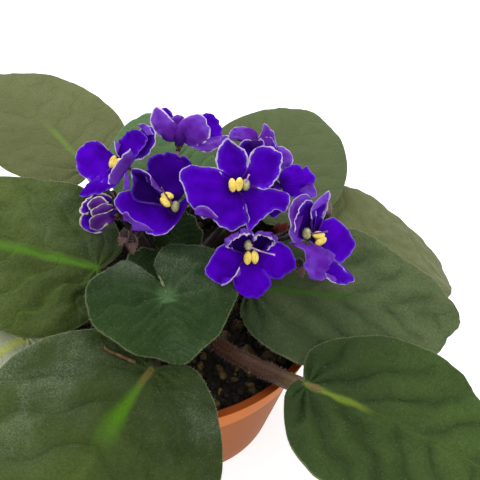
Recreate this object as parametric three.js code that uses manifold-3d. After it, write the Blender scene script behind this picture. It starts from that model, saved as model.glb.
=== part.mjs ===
// A potted African violet: a squat terracotta-coloured pot, potting mix, and a rosette of heart-shaped
// hairy leaves round a cluster of violet five-lobed flowers. Millimetres, +Z up, and the origin is
// at the middle of the pot's flat base.
import * as THREE from "three";
import { mergeVertices } from "three/addons/utils/BufferGeometryUtils.js";
import Module from "manifold-3d";

const wasm = await Module();
wasm.setup();

// Driving dimensions
const GAP = 0.3; // clearance between separate pieces
const SMALLEST_DETAIL = 0.06;
const POT_HEIGHT = 80;
const RIM_RADIUS = 57;
const RIM_LAND = 2.7; // width of the flat ring on top of the rim
const COLLAR_HEIGHT = 16;
const COLLAR_STEP = 2.2; // how far the collar stands out of the wall below it
const BASE_RADIUS = 38;
const POT_WALL = 1.8;
const POT_FLOOR = 2.6;
const DRAIN_RADIUS = 3.2;
const DRAIN_CIRCLE = 25;
const DRAIN_COUNT = 8;
const POT_SIDES = 36;

const SOIL_TOP = 72;
const SOIL_BUMP = 1.1;

const CROWN_RADIUS = 7.5;
const CROWN_TOP = 90;
const CROWN_DEPTH = 17; // length of stem below the soil's surface

const BLADE_THICKNESS = 0.9;
const PETAL_THICKNESS = 0.7;
const PETIOLE_SIDES = 5;
const BLADE_RINGS = [0.5, 1]; // how far out from the petiole the blade's points lie

const DEG = Math.PI / 180;

// Colours, as the photograph shows them
const terracotta = new THREE.MeshStandardMaterial({ color: 0xc8683a, roughness: 0.55, metalness: 0 });
const earth = new THREE.MeshStandardMaterial({ color: 0x1d1814, roughness: 1, metalness: 0 });
const leafGreen = new THREE.MeshStandardMaterial({ color: 0x4c6138, roughness: 0.75, metalness: 0 });
const stalkBrown = new THREE.MeshStandardMaterial({ color: 0x5c3f35, roughness: 0.8, metalness: 0 });
const petalViolet = new THREE.MeshStandardMaterial({ color: 0x4a06b8, roughness: 0.6, metalness: 0 });
const antherYellow = new THREE.MeshStandardMaterial({ color: 0xe8cf4e, roughness: 0.6, metalness: 0 });

// Solid helpers

/** A closed geometry as a solid that can be joined and cut. */
function toSolid(geometry) {
  const bare = new THREE.BufferGeometry();
  const source = geometry.index ? geometry.toNonIndexed() : geometry;
  bare.setAttribute("position", source.getAttribute("position"));
  const merged = mergeVertices(bare, 1e-4);
  return new wasm.Manifold(
    new wasm.Mesh({
      numProp: 3,
      vertProperties: new Float32Array(merged.attributes.position.array),
      triVerts: new Uint32Array(merged.index.array),
    }),
  );
}

/** A solid as a geometry. */
function toGeometry(solid) {
  const mesh = solid.getMesh();
  const geometry = new THREE.BufferGeometry();
  geometry.setAttribute("position", new THREE.BufferAttribute(new Float32Array(mesh.vertProperties), 3));
  geometry.setIndex(new THREE.BufferAttribute(new Uint32Array(mesh.triVerts), 1));
  geometry.computeVertexNormals();
  return geometry;
}

/** Joins solids, keeps the largest body and drops the needless points that joining leaves. */
function join(solids) {
  let whole = solids[0];
  for (const solid of solids.slice(1)) whole = whole.add(solid);
  const bodies = whole.simplify(SMALLEST_DETAIL).decompose();
  return bodies.sort((a, b) => b.volume() - a.volume())[0];
}

/** A geometry from points and triangles. */
function meshOf(points, triangles) {
  const geometry = new THREE.BufferGeometry();
  geometry.setAttribute("position", new THREE.Float32BufferAttribute(points.flatMap((p) => [p.x, p.y, p.z]), 3));
  geometry.setIndex(triangles);
  return geometry;
}

/** Where a strip has got to after s of its length, when its slope turns evenly from pitch0 to pitch1. */
function alongBend(s, length, pitch0, pitch1) {
  const turn = (pitch1 - pitch0) / length;
  const slope = pitch0 + turn * s;
  if (Math.abs(turn) < 1e-6) return { x: s * Math.cos(slope), z: s * Math.sin(slope), slope };
  return {
    x: (Math.sin(slope) - Math.sin(pitch0)) / turn,
    z: (Math.cos(pitch0) - Math.cos(slope)) / turn,
    slope,
  };
}

/** A tapered round stalk along a curve, closed at both ends. radiusAt takes 0 at the start to 1 at the end. */
function stalk(curve, radiusAt, steps, sides) {
  const frames = curve.computeFrenetFrames(steps, false);
  const points = [];
  for (let i = 0; i <= steps; i++) {
    const centre = curve.getPointAt(i / steps);
    for (let j = 0; j < sides; j++) {
      const angle = (2 * Math.PI * j) / sides;
      const radius = radiusAt(i / steps);
      points.push(
        centre
          .clone()
          .addScaledVector(frames.normals[i], radius * Math.cos(angle))
          .addScaledVector(frames.binormals[i], radius * Math.sin(angle)),
      );
    }
  }
  const triangles = [];
  for (let i = 0; i < steps; i++)
    for (let j = 0; j < sides; j++) {
      const a = i * sides + j;
      const b = i * sides + ((j + 1) % sides);
      triangles.push(a, b, b + sides, a, b + sides, a + sides);
    }
  const start = points.push(curve.getPointAt(0)) - 1;
  const end = points.push(curve.getPointAt(1)) - 1;
  for (let j = 0; j < sides; j++) {
    const next = (j + 1) % sides;
    triangles.push(start, next, j);
    triangles.push(end, steps * sides + j, steps * sides + next);
  }
  return toSolid(meshOf(points, triangles));
}

// Pot and potting mix

/** The collared pot with its ring of drain holes. */
function makePot() {
  const collarBottom = POT_HEIGHT - COLLAR_HEIGHT;
  const slope = (RIM_RADIUS - BASE_RADIUS) / POT_HEIGHT;
  const wallAt = (z) => BASE_RADIUS + slope * z - COLLAR_STEP * (z / POT_HEIGHT);
  const profile = [
    [0, 0],
    [BASE_RADIUS - 1, 0],
    [BASE_RADIUS, 1.2],
    [wallAt(collarBottom), collarBottom],
    [RIM_RADIUS - slope * COLLAR_HEIGHT - 0.2, collarBottom + 0.6],
    [RIM_RADIUS, POT_HEIGHT - 0.5],
    [RIM_RADIUS - 0.5, POT_HEIGHT],
    [RIM_RADIUS - RIM_LAND, POT_HEIGHT],
    [RIM_RADIUS - RIM_LAND - 0.4, POT_HEIGHT - 1.5],
    [wallAt(collarBottom) - POT_WALL, collarBottom],
    [wallAt(POT_FLOOR) - POT_WALL, POT_FLOOR],
    [0, POT_FLOOR],
  ].map(([r, z]) => new THREE.Vector2(r, z));
  const lathe = new THREE.LatheGeometry(profile, POT_SIDES).rotateX(Math.PI / 2);
  let pot = toSolid(lathe);
  for (let i = 0; i < DRAIN_COUNT; i++) {
    const angle = (2 * Math.PI * (i + 0.5)) / DRAIN_COUNT;
    const drill = new THREE.CylinderGeometry(DRAIN_RADIUS, DRAIN_RADIUS, 4 * POT_FLOOR, 8)
      .rotateX(Math.PI / 2)
      .translate(DRAIN_CIRCLE * Math.cos(angle), DRAIN_CIRCLE * Math.sin(angle), 0);
    pot = pot.subtract(toSolid(drill));
  }
  return pot;
}

/** Radius of the pot's inner wall at a height. */
function potInside(z) {
  const slope = (RIM_RADIUS - BASE_RADIUS) / POT_HEIGHT;
  const wallAt = (h) => BASE_RADIUS + slope * h - COLLAR_STEP * (h / POT_HEIGHT);
  return wallAt(z) - POT_WALL;
}

/** Height of the potting mix at a place: a crumbly surface that sinks a little towards the rim. */
function soilHeight(x, y) {
  const r = Math.hypot(x, y) / RIM_RADIUS;
  const crumbs =
    0.5 * Math.sin(0.55 * x + 1.3) * Math.cos(0.47 * y - 0.4) +
    0.3 * Math.sin(0.93 * x - 0.71 * y) +
    0.3 * Math.cos(1.21 * y + 0.83 * x + 2);
  return SOIL_TOP + 1.6 * (1 - r * r) + SOIL_BUMP * crumbs;
}

/** The potting mix, shaped to the pot's inside, with a plain hole for the stem. */
function makeSoil() {
  const rings = 4;
  const sides = POT_SIDES;
  const bottom = POT_FLOOR + GAP;
  const radiusTop = potInside(SOIL_TOP) - GAP - 0.2;
  const radiusBottom = potInside(bottom) - GAP - 0.2;
  const points = [new THREE.Vector3(0, 0, soilHeight(0, 0))];
  for (let k = 1; k <= rings; k++)
    for (let j = 0; j < sides; j++) {
      const angle = (2 * Math.PI * j) / sides;
      const r = (radiusTop * k) / rings;
      const x = r * Math.cos(angle);
      const y = r * Math.sin(angle);
      points.push(new THREE.Vector3(x, y, k === rings ? SOIL_TOP - 1 : soilHeight(x, y)));
    }
  const low = points.length;
  for (let j = 0; j < sides; j++) {
    const angle = (2 * Math.PI * j) / sides;
    points.push(new THREE.Vector3(radiusBottom * Math.cos(angle), radiusBottom * Math.sin(angle), bottom));
  }
  const foot = points.push(new THREE.Vector3(0, 0, bottom)) - 1;
  const triangles = [];
  const ring = (k, j) => 1 + (k - 1) * sides + (j % sides);
  for (let j = 0; j < sides; j++) {
    triangles.push(0, ring(1, j), ring(1, j + 1));
    for (let k = 1; k < rings; k++)
      triangles.push(ring(k, j), ring(k + 1, j), ring(k + 1, j + 1), ring(k, j), ring(k + 1, j + 1), ring(k, j + 1));
    const next = (j + 1) % sides;
    triangles.push(ring(rings, j), low + j, low + next, ring(rings, j), low + next, ring(rings, j + 1));
    triangles.push(foot, low + next, low + j);
  }
  const hole = new THREE.CylinderGeometry(CROWN_RADIUS + GAP, CROWN_RADIUS + GAP, 2 * (CROWN_DEPTH + GAP), 16)
    .rotateX(Math.PI / 2)
    .translate(0, 0, SOIL_TOP);
  return join([toSolid(meshOf(points, triangles)).subtract(toSolid(hole))]);
}

/** The short thick stem that every leaf and flower stalk grows from. */
function crownSolid(extra = 0) {
  const r = CROWN_RADIUS + extra;
  const profile = [
    [0, SOIL_TOP - CROWN_DEPTH],
    [r * 0.8, SOIL_TOP - CROWN_DEPTH],
    [r, SOIL_TOP - CROWN_DEPTH + 3],
    [r, CROWN_TOP - 6],
    [r * 0.75, CROWN_TOP - 2 + extra],
    [0, CROWN_TOP + extra],
  ].map(([x, y]) => new THREE.Vector2(x, y));
  return toSolid(new THREE.LatheGeometry(profile, 16).rotateX(Math.PI / 2));
}

// Leaves

/** Outline of a heart-shaped blade at an angle round it: 0 at the tip, a half turn in the notch. */
function bladeEdge(phi, leaf) {
  const { length, halfWidth, lobe, notch = 0.3, egg = 0.18, point = 1.5, scallop = 0.35 } = leaf;
  const middle = (length - lobe) / 2;
  const reach = (length + lobe) / 2;
  const fromNotch = Math.PI - Math.abs(phi);
  const pull = lobe * 0.9 * Math.max(0, 1 - fromNotch / notch);
  const tip = point * Math.exp(-((phi / 0.28) ** 2));
  const wave = 1 + (scallop / halfWidth) * Math.cos(9 * phi) * Math.min(1, fromNotch / 0.5);
  return {
    x: (middle + reach * Math.cos(phi)) * wave + pull + tip,
    y: halfWidth * Math.sin(phi) * (1 - egg * Math.cos(phi)) * wave,
  };
}

/** A point of the blade, by its share u of the way from the petiole to the edge at phi. */
function bladePoint(u, phi, leaf) {
  const { length, halfWidth, lobe, pitch0, pitch1, roll = 0, fold = 0, cup = 0, ripple = 1.2 } = leaf;
  const { ripples = 5, phase = 0, sweep = 0, lobeLift = 0 } = leaf;
  const edge = bladeEdge(phi, leaf);
  const s = u * edge.x;
  const y = u * edge.y;
  const across = Math.abs(y) / halfWidth;
  const height =
    Math.tan(fold * DEG) * (Math.hypot(y, 3) - 3) +
    cup * across * across +
    ripple * u ** 3 * Math.sin(ripples * phi + phase) * Math.min(1, (Math.PI - Math.abs(phi)) / 0.6) +
    lobeLift * Math.max(0, -s / lobe) ** 1.5;
  const bend = alongBend(s, length, pitch0 * DEG, pitch1 * DEG);
  const point = new THREE.Vector3(
    bend.x - height * Math.sin(bend.slope),
    y + sweep * (s / length) * Math.abs(s / length),
    bend.z + height * Math.cos(bend.slope),
  );
  return point
    .applyAxisAngle(new THREE.Vector3(1, 0, 0), roll * DEG)
    .applyAxisAngle(new THREE.Vector3(0, 0, 1), leaf.azimuth * DEG)
    .add(new THREE.Vector3(...leaf.joint));
}

/** Unit normal of the blade at a point. */
function bladeNormal(u, phi, leaf) {
  const step = 0.02;
  const a = bladePoint(Math.min(u + step, 1), phi, leaf).sub(bladePoint(Math.max(u - step, 0), phi, leaf));
  const b = bladePoint(Math.max(u, 0.05), phi + step, leaf).sub(bladePoint(Math.max(u, 0.05), phi - step, leaf));
  return a.cross(b).normalize();
}

/** Angles at which the outline is sampled: even round the blade, closer in the notch. */
function bladeAngles(leaf, count) {
  const notch = leaf.notch ?? 0.3;
  const half = [];
  for (let i = 0; i <= count; i++) half.push(((Math.PI - notch) * i) / count);
  half.push(Math.PI - notch * 0.45);
  return [...half.map((a) => -a).reverse().slice(0, -1), ...half, Math.PI];
}

/** The thin closed blade. */
function bladeSolid(leaf, count = leaf.samples ?? 11, rings = BLADE_RINGS) {
  const angles = bladeAngles(leaf, count);
  const columns = angles.length;
  const up = new THREE.Vector3(0, 0, 1)
    .applyAxisAngle(new THREE.Vector3(0, 1, 0), -leaf.pitch0 * DEG)
    .applyAxisAngle(new THREE.Vector3(1, 0, 0), (leaf.roll ?? 0) * DEG)
    .applyAxisAngle(new THREE.Vector3(0, 0, 1), leaf.azimuth * DEG);
  const points = [];
  for (const side of [1, -1]) {
    const shift = (side * BLADE_THICKNESS) / 2;
    points.push(bladePoint(0, 0, leaf).addScaledVector(up, shift));
    for (const u of rings)
      for (const phi of angles)
        points.push(bladePoint(u, phi, leaf).addScaledVector(bladeNormal(u, phi, leaf), shift));
  }
  const layer = 1 + rings.length * columns;
  const at = (side, k, j) => side * layer + 1 + k * columns + (j % columns);
  const triangles = [];
  for (let j = 0; j < columns; j++) {
    triangles.push(0, at(0, 0, j), at(0, 0, j + 1), layer, at(1, 0, j + 1), at(1, 0, j));
    for (let k = 0; k + 1 < rings.length; k++) {
      triangles.push(at(0, k, j), at(0, k + 1, j), at(0, k + 1, j + 1));
      triangles.push(at(0, k, j), at(0, k + 1, j + 1), at(0, k, j + 1));
      triangles.push(at(1, k, j), at(1, k + 1, j + 1), at(1, k + 1, j));
      triangles.push(at(1, k, j), at(1, k, j + 1), at(1, k + 1, j + 1));
    }
    const last = rings.length - 1;
    triangles.push(at(0, last, j), at(1, last, j), at(1, last, j + 1));
    triangles.push(at(0, last, j), at(1, last, j + 1), at(0, last, j + 1));
  }
  return toSolid(meshOf(points, triangles));
}

/** The petiole's path from the crown to the blade, and on under it as the raised midrib. */
function petiolePath(leaf) {
  const { root, azimuth, pitch0, petiole = 2.6, launch = 35, lead = 0.45, ease = 0.35 } = leaf;
  const [rootAngle, rootHeight, rootReach = CROWN_RADIUS - 1] = root;
  const outward = new THREE.Vector3(Math.cos(rootAngle * DEG), Math.sin(rootAngle * DEG), 0);
  const start = outward.clone().multiplyScalar(rootReach).setZ(rootHeight);
  const heading = new THREE.Vector3(
    Math.cos(azimuth * DEG) * Math.cos(pitch0 * DEG),
    Math.sin(azimuth * DEG) * Math.cos(pitch0 * DEG),
    Math.sin(pitch0 * DEG),
  );
  const from = bladePoint(0, 0, leaf);
  const half = bladePoint(BLADE_RINGS[0], 0, leaf);
  const below = half.clone().sub(from).cross(bladePoint(BLADE_RINGS[0], 0.05, leaf).sub(half)).normalize();
  const under = (u, radius) => from.clone().lerp(half, u).addScaledVector(below, -radius);
  const arrive = under(0.1, petiole * 0.92);
  const distance = start.distanceTo(arrive);
  const rise = outward
    .clone()
    .multiplyScalar(Math.cos(launch * DEG))
    .setZ(Math.sin(launch * DEG));
  const reach = new THREE.CubicBezierCurve3(
    start,
    start.clone().addScaledVector(rise, distance * lead),
    arrive.clone().addScaledVector(heading, -distance * ease),
    arrive,
  );
  const stem = reach.getPoints(9);
  const rib = [0.4, 0.7, 0.98].map((u) => under(u, Math.max(0.7, petiole * 0.92 * (1 - u))));
  return { points: [...stem, ...rib], stemCount: stem.length };
}

/** A leaf: blade, petiole and midrib in one piece, cut clear of the crown. */
function makeLeaf(leaf) {
  const { points, stemCount } = petiolePath(leaf);
  const curve = new THREE.CatmullRomCurve3(points, false, "centripetal");
  const total = curve.getLength();
  const toJoint = new THREE.CatmullRomCurve3(points.slice(0, stemCount), false, "centripetal").getLength() / total;
  const petiole = leaf.petiole ?? 2.6;
  const rootRadius = leaf.rootRadius ?? 1.7;
  const radiusAt = (t) => {
    if (t < toJoint) return THREE.MathUtils.lerp(rootRadius, petiole, Math.min(1, (t / toJoint) * 1.8));
    return THREE.MathUtils.lerp(petiole * 0.92, 0.7, Math.min(1, (t - toJoint) / (1 - toJoint)));
  };
  const rod = stalk(curve, radiusAt, 10, PETIOLE_SIDES);
  return join([join([bladeSolid(leaf), rod]).subtract(crownSolid(GAP))]);
}

const LEAVES = {
  leaf_back_left: {
    joint: [-35, 43, 98], azimuth: 129, pitch0: 3, pitch1: -10, roll: 8, length: 82, halfWidth: 29, lobe: 7,
    egg: 0.1, root: [128, 76],
  },
  leaf_left: {
    joint: [-27, -4, 95], azimuth: 174, pitch0: 20, pitch1: -6, roll: -3, length: 82, halfWidth: 32, lobe: 9,
    egg: 0.2, sweep: -2, root: [170, 80],
  },
  leaf_front_small: {
    joint: [0, -24, 106], azimuth: 288, pitch0: -15, pitch1: -52, roll: -6, length: 21, halfWidth: 26, lobe: 22,
    egg: 0.2, notch: 0.28, point: 2, root: [262, 87], petiole: 1.8,
  },
  leaf_front_left: {
    joint: [-5, -44, 93], azimuth: 241, pitch0: -1, pitch1: -18, roll: -13, length: 92, halfWidth: 41, lobe: 10,
    egg: 0.05, root: [238, 78],
  },
  leaf_left_low: {
    joint: [-54, -32, 85], azimuth: 211, pitch0: -8, pitch1: -40, length: 62, halfWidth: 26, lobe: 7,
    root: [206, 78], launch: 20,
  },
  leaf_front_right: {
    joint: [41, -45, 89], azimuth: -24, pitch0: 1, pitch1: -28, roll: 1, cup: 0.5, length: 82, halfWidth: 30, lobe: 1,
    root: [-74, 76], notch: 0.5, petiole: 2.9, lead: 0.4, launch: 25,
  },
  leaf_right: {
    joint: [28, -10, 91], azimuth: -3, pitch0: 2, pitch1: -24, roll: 9, length: 77, halfWidth: 28, lobe: 5,
    egg: 0.22, sweep: -1.5, root: [-14, 80],
  },
  leaf_right_back: {
    joint: [60, 17, 85], azimuth: 20, pitch0: -18, pitch1: -48, length: 62, halfWidth: 32, lobe: 6,
    sweep: -2, root: [18, 78], launch: 25,
  },
  leaf_back: {
    joint: [30, 34, 91], azimuth: 64, pitch0: 5, pitch1: -13, roll: 8, length: 60, halfWidth: 28, lobe: 10,
    root: [54, 79],
  },
  leaf_back_small: {
    joint: [-4, 30, 98], azimuth: 101, pitch0: 12, pitch1: -8, roll: 4, length: 48, halfWidth: 20, lobe: 8,
    root: [95, 84], petiole: 2,
  },
  leaf_inner_back: {
    joint: [1, 5, 94], azimuth: 80, pitch0: 55, pitch1: 35, length: 12, halfWidth: 6, lobe: 2.5,
    root: [90, 87, 0.5], petiole: 1.3, rootRadius: 1.1, launch: 80, ripple: 0.3, notch: 0.4, samples: 7,
  },
  leaf_inner_front: {
    joint: [-5, -4, 93], azimuth: 190, pitch0: 36, pitch1: 16, length: 12, halfWidth: 6, lobe: 3,
    root: [220, 87, 3], petiole: 1.2, rootRadius: 1.1, launch: 70, ripple: 0.3, notch: 0.5, samples: 7,
  },
};

// Flowers

/** Unit vectors of a flower: facing out of its face, up towards its two small lobes, and right. */
function flowerAxes(flower) {
  const [azimuth, elevation] = flower.facing;
  const out = new THREE.Vector3(
    Math.cos(azimuth * DEG) * Math.cos(elevation * DEG),
    Math.sin(azimuth * DEG) * Math.cos(elevation * DEG),
    Math.sin(elevation * DEG),
  );
  const up = new THREE.Vector3(0, 0, 1).addScaledVector(out, -out.z).normalize();
  up.applyAxisAngle(out, (flower.spin ?? 0) * DEG);
  const right = new THREE.Vector3().crossVectors(up, out);
  return { out, up, right };
}

/** A place given in a flower's own axes. */
function inFlower(flower, right, up, out) {
  const axes = flowerAxes(flower);
  return new THREE.Vector3(...flower.throat)
    .addScaledVector(axes.right, right)
    .addScaledVector(axes.up, up)
    .addScaledVector(axes.out, out);
}

const THROAT_RADIUS = 2;

/** A point of one lobe of the corolla, at v along it and u across it. */
function petalPoint(u, v, petal, flower) {
  const { angle, length, halfWidth, pitch = 12, curl = -14, cup = 1.2, frill = 0.7, waves = 3, twist = 0 } = petal;
  const swell = Math.sin(Math.min(1, v / 0.62) * 90 * DEG);
  const width = halfWidth * (0.2 + 0.8 * swell) * (v > 0.62 ? 1 - 0.9 * (v - 0.62) ** 2 : 1);
  const s = length * v * (1 - 0.3 * v * Math.abs(u) ** 2.6);
  const y = u * width;
  const height = cup * u * u * v + frill * v * v * (0.3 + 0.7 * u * u) * Math.sin(waves * Math.PI * u + angle) + petal.layer;
  const bend = alongBend(s, length, pitch * DEG, (pitch + curl) * DEG);
  const turn = twist * DEG * v;
  const side = y * Math.cos(turn) - height * Math.sin(turn);
  const lift = y * Math.sin(turn) + height * Math.cos(turn);
  const radial = THROAT_RADIUS * 0.75 + bend.x - lift * Math.sin(bend.slope);
  const out = bend.z + lift * Math.cos(bend.slope);
  const a = angle * DEG;
  return inFlower(flower, radial * Math.cos(a) - side * Math.sin(a), radial * Math.sin(a) + side * Math.cos(a), out);
}

/** One lobe as a thin closed solid. */
function petalSolid(petal, flower, columns = 4, rows = 2) {
  const points = [];
  const step = 0.03;
  for (const side of [1, -1])
    for (let i = 0; i <= rows; i++)
      for (let j = 0; j <= columns; j++) {
        const v = i / rows;
        const u = (2 * j) / columns - 1;
        const along = petalPoint(u, v + step, petal, flower).sub(petalPoint(u, v - step, petal, flower));
        const across = petalPoint(u + step, v, petal, flower).sub(petalPoint(u - step, v, petal, flower));
        const normal = along.cross(across).normalize();
        points.push(petalPoint(u, v, petal, flower).addScaledVector(normal, (side * PETAL_THICKNESS) / 2));
      }
  const layer = (rows + 1) * (columns + 1);
  const at = (side, i, j) => side * layer + i * (columns + 1) + j;
  const triangles = [];
  const quad = (a, b, c, d) => triangles.push(a, b, c, a, c, d);
  for (let i = 0; i < rows; i++)
    for (let j = 0; j < columns; j++) {
      quad(at(0, i, j), at(0, i + 1, j), at(0, i + 1, j + 1), at(0, i, j + 1));
      triangles.push(at(1, i, j), at(1, i + 1, j + 1), at(1, i + 1, j), at(1, i, j), at(1, i, j + 1), at(1, i + 1, j + 1));
    }
  for (let i = 0; i < rows; i++) {
    quad(at(0, i, 0), at(1, i, 0), at(1, i + 1, 0), at(0, i + 1, 0));
    quad(at(0, i + 1, columns), at(1, i + 1, columns), at(1, i, columns), at(0, i, columns));
  }
  for (let j = 0; j < columns; j++) {
    quad(at(0, 0, j + 1), at(1, 0, j + 1), at(1, 0, j), at(0, 0, j));
    quad(at(0, rows, j), at(1, rows, j), at(1, rows, j + 1), at(0, rows, j + 1));
  }
  return toSolid(meshOf(points, triangles));
}

/** Turns a solid of revolution about +Z into place behind a flower's throat. */
function placeOnFlower(geometry, flower, right = 0, up = 0, out = 0) {
  const axes = flowerAxes(flower);
  const matrix = new THREE.Matrix4().makeBasis(axes.right, axes.up, axes.out);
  matrix.setPosition(inFlower(flower, right, up, out));
  return geometry.applyMatrix4(matrix);
}

/** The corolla: short tube, five lobes and the style. */
function makeCorolla(flower) {
  const profile = [
    [0, -3.4],
    [1.4, -3.4],
    [THROAT_RADIUS + 0.3, 0.4],
    [THROAT_RADIUS - 0.6, 0.3],
    [1.1, -0.8],
    [0, -0.9],
  ].map(([r, z]) => new THREE.Vector2(r, z));
  const tube = toSolid(placeOnFlower(new THREE.LatheGeometry(profile, 9).rotateX(Math.PI / 2), flower));
  const petals = flower.petals.map((petal) => petalSolid(petal, flower));
  return join([tube, ...petals]);
}

/** The pair of yellow anthers on their short filaments, standing in the throat. */
function makeAnthers(flower) {
  const { anthers = 0 } = flower;
  const solids = [];
  for (const side of [-1, 1]) {
    const sac = new THREE.SphereGeometry(1, 5, 4).scale(1.25, 2.3, 1.15);
    solids.push(toSolid(placeOnFlower(sac.rotateZ(side * 0.12 + anthers * DEG), flower, side * 1.15, 0, 3.4)));
  }
  const filament = new THREE.CylinderGeometry(0.7, 0.6, 3.4, 5).rotateX(Math.PI / 2);
  solids.push(toSolid(placeOnFlower(filament, flower, 0, 0, 1.2)));
  return join(solids);
}

const LOBE_LAYERS = [-0.4, 0.4, -0.4, 0.4, -1.2]; // each lobe lies over or under the next one

/** A flower's lobes from their angles round the throat, lengths and half widths. */
function lobes(...rows) {
  return rows.map(([angle, length, halfWidth, pitch = 12, curl = -14, twist = 0], i) => ({
    angle, length, halfWidth, pitch, curl, twist,
    layer: LOBE_LAYERS[i],
  }));
}

const FLOWERS = {
  flower_1: {
    throat: [23.5, 6.5, 127], facing: [-98, 52],
    petals: lobes([97, 15.5, 7], [38, 15, 7.2, 16], [-25, 16.5, 8.5], [-98, 15, 9.5], [182, 17.5, 9]),
  },
  flower_2: {
    throat: [1, 7, 115], facing: [-118, 56],
    petals: lobes([122, 12.5, 6.5], [66, 14, 6.5], [-14, 12.5, 7.5], [-92, 13, 8.5], [182, 17, 9]),
  },
  flower_3: {
    throat: [-19.5, 24, 120], facing: [221, 49],
    petals: lobes([120, 13, 7], [62, 13.5, 7.2], [-10, 12.5, 7.2], [-84, 12.5, 7.2], [180, 15, 7.5]),
  },
  flower_4: {
    throat: [-24, 7, 106], facing: [186, 24], closed: true,
    petals: lobes([90, 10, 4, 52, 24], [18, 10, 4, 52, 24], [-54, 10, 4, 52, 24], [-126, 10, 4, 52, 24],
      [162, 10, 4, 52, 24]),
  },
  flower_5: {
    throat: [2.5, 34, 123], facing: [82, 18],
    petals: lobes([124, 15.5, 7, 25], [60, 14.5, 7, 25], [6, 13, 6.5, 25], [-84, 12, 6.5, 25], [186, 12, 6.5, 25]),
  },
  flower_6: {
    throat: [27, -13.5, 115], facing: [-88, 30],
    petals: lobes([118, 9, 5.5, 30, 60], [62, 9, 5.5, 30, 60], [-12, 15, 7.5], [-88, 15, 7.5], [192, 15, 7.5]),
  },
  flower_7: {
    throat: [49, -5, 114], facing: [-58, 42],
    petals: lobes([132, 11.5, 6, 40, 20], [80, 12, 6.5, 30, 10], [4, 15.5, 8.5], [-48, 15.5, 5.5, 8, -30],
      [-98, 14, 6.5, 10, -60]),
  },
  flower_8: {
    throat: [37, 20, 113], facing: [10, 58],
    petals: lobes([118, 13, 7], [62, 13, 7], [-10, 14, 7.5], [-90, 14, 7.5], [190, 14, 7]),
  },
  flower_9: {
    throat: [30, 38, 117], facing: [80, 30],
    petals: lobes([124, 13, 7], [56, 13, 7], [-10, 13, 7], [-90, 13, 7], [190, 13, 7]),
  },
};

// Flower stalks

const STALK_RADIUS = 1.15;
const STALK_FOOT = 5; // how far from the middle of the crown the flower stalks rise
const PEDICEL_RADIUS = 0.85;

/** The small hairy cup and its five narrow sepals behind a flower. */
function calyxSolids(flower) {
  const profile = [
    [0, -6.4],
    [0.9, -6.2],
    [1.7, -4.6],
    [1.5, -3.7],
    [0, -3.7],
  ].map(([r, z]) => new THREE.Vector2(r, z));
  const solids = [toSolid(placeOnFlower(new THREE.LatheGeometry(profile, 6).rotateX(Math.PI / 2), flower))];
  for (let i = 0; i < 5; i++) {
    const angle = (i * 72 + 30) * DEG;
    const from = inFlower(flower, 0.9 * Math.cos(angle), 0.9 * Math.sin(angle), -4.8);
    const to = inFlower(flower, 4.9 * Math.cos(angle), 4.9 * Math.sin(angle), -2.6);
    const sepal = new THREE.LineCurve3(from, to);
    solids.push(stalk(sepal, (t) => THREE.MathUtils.lerp(0.85, 0.3, t), 1, 3));
  }
  return solids;
}

/** A closed bud: a pointed ball of sepals at the end of its own short stalk. */
function budSolids(bud, fork) {
  const at = new THREE.Vector3(...bud.at);
  const heading = at.clone().sub(fork).normalize();
  const ball = new THREE.SphereGeometry(1, 6, 4).scale(bud.size, bud.size * 1.5, bud.size);
  ball.applyQuaternion(new THREE.Quaternion().setFromUnitVectors(new THREE.Vector3(0, 1, 0), heading));
  ball.translate(at.x, at.y, at.z);
  const curve = new THREE.LineCurve3(fork, at);
  return [toSolid(ball), stalk(curve, () => 0.75, 1, 4)];
}

/** A flower stalk from the crown to its fork, with a pedicel and calyx for each flower, and buds. */
function makePeduncle({ angle, fork, flowers, buds = [], bow = 0 }) {
  const node = new THREE.Vector3(...fork);
  const foot = new THREE.Vector3(Math.cos(angle * DEG), Math.sin(angle * DEG), 0)
    .multiplyScalar(STALK_FOOT)
    .setZ(CROWN_TOP - 8);
  const middle = foot.clone().lerp(node, 0.5).add(new THREE.Vector3(0, 0, bow));
  const stem = new THREE.CatmullRomCurve3([foot, foot.clone().setZ(CROWN_TOP), middle, node]);
  const solids = [stalk(stem, () => STALK_RADIUS, 4, 5)];
  for (const name of flowers) {
    const flower = FLOWERS[name];
    const axes = flowerAxes(flower);
    const end = inFlower(flower, 0, 0, -6);
    const distance = end.distanceTo(node);
    const path = new THREE.CubicBezierCurve3(
      node,
      node.clone().lerp(end, 0.35).add(new THREE.Vector3(0, 0, 0.12 * distance)),
      end.clone().addScaledVector(axes.out, -0.4 * distance),
      end,
    );
    solids.push(stalk(path, () => PEDICEL_RADIUS, 3, 4), ...calyxSolids(flower));
  }
  for (const bud of buds) solids.push(...budSolids(bud, node));
  return join([join(solids).subtract(crownSolid(GAP))]);
}

const PEDUNCLES = {
  stalk_back: { angle: 105, fork: [8, 21, 104], flowers: ["flower_5", "flower_9"] },
  stalk_left: {
    angle: 160, fork: [-10, 11, 102], flowers: ["flower_2", "flower_3", "flower_4"],
    buds: [{ at: [-16, 1, 106], size: 2.6 }, { at: [-14, 0, 101], size: 2.2 }],
  },
  stalk_middle: { angle: 40, fork: [21, 15, 104], flowers: ["flower_1", "flower_8"] },
  stalk_right: {
    angle: -30, fork: [32, 1, 102], flowers: ["flower_6", "flower_7"],
    buds: [{ at: [55, 9, 113], size: 1.8 }, { at: [45, -8.5, 101.5], size: 1.9 }],
  },
};

// The plant put together

const plant = new THREE.Group();

/** Adds a solid to the plant as a named mesh. */
function add(name, solid, material) {
  const mesh = new THREE.Mesh(toGeometry(solid), material);
  mesh.name = name;
  plant.add(mesh);
}

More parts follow.
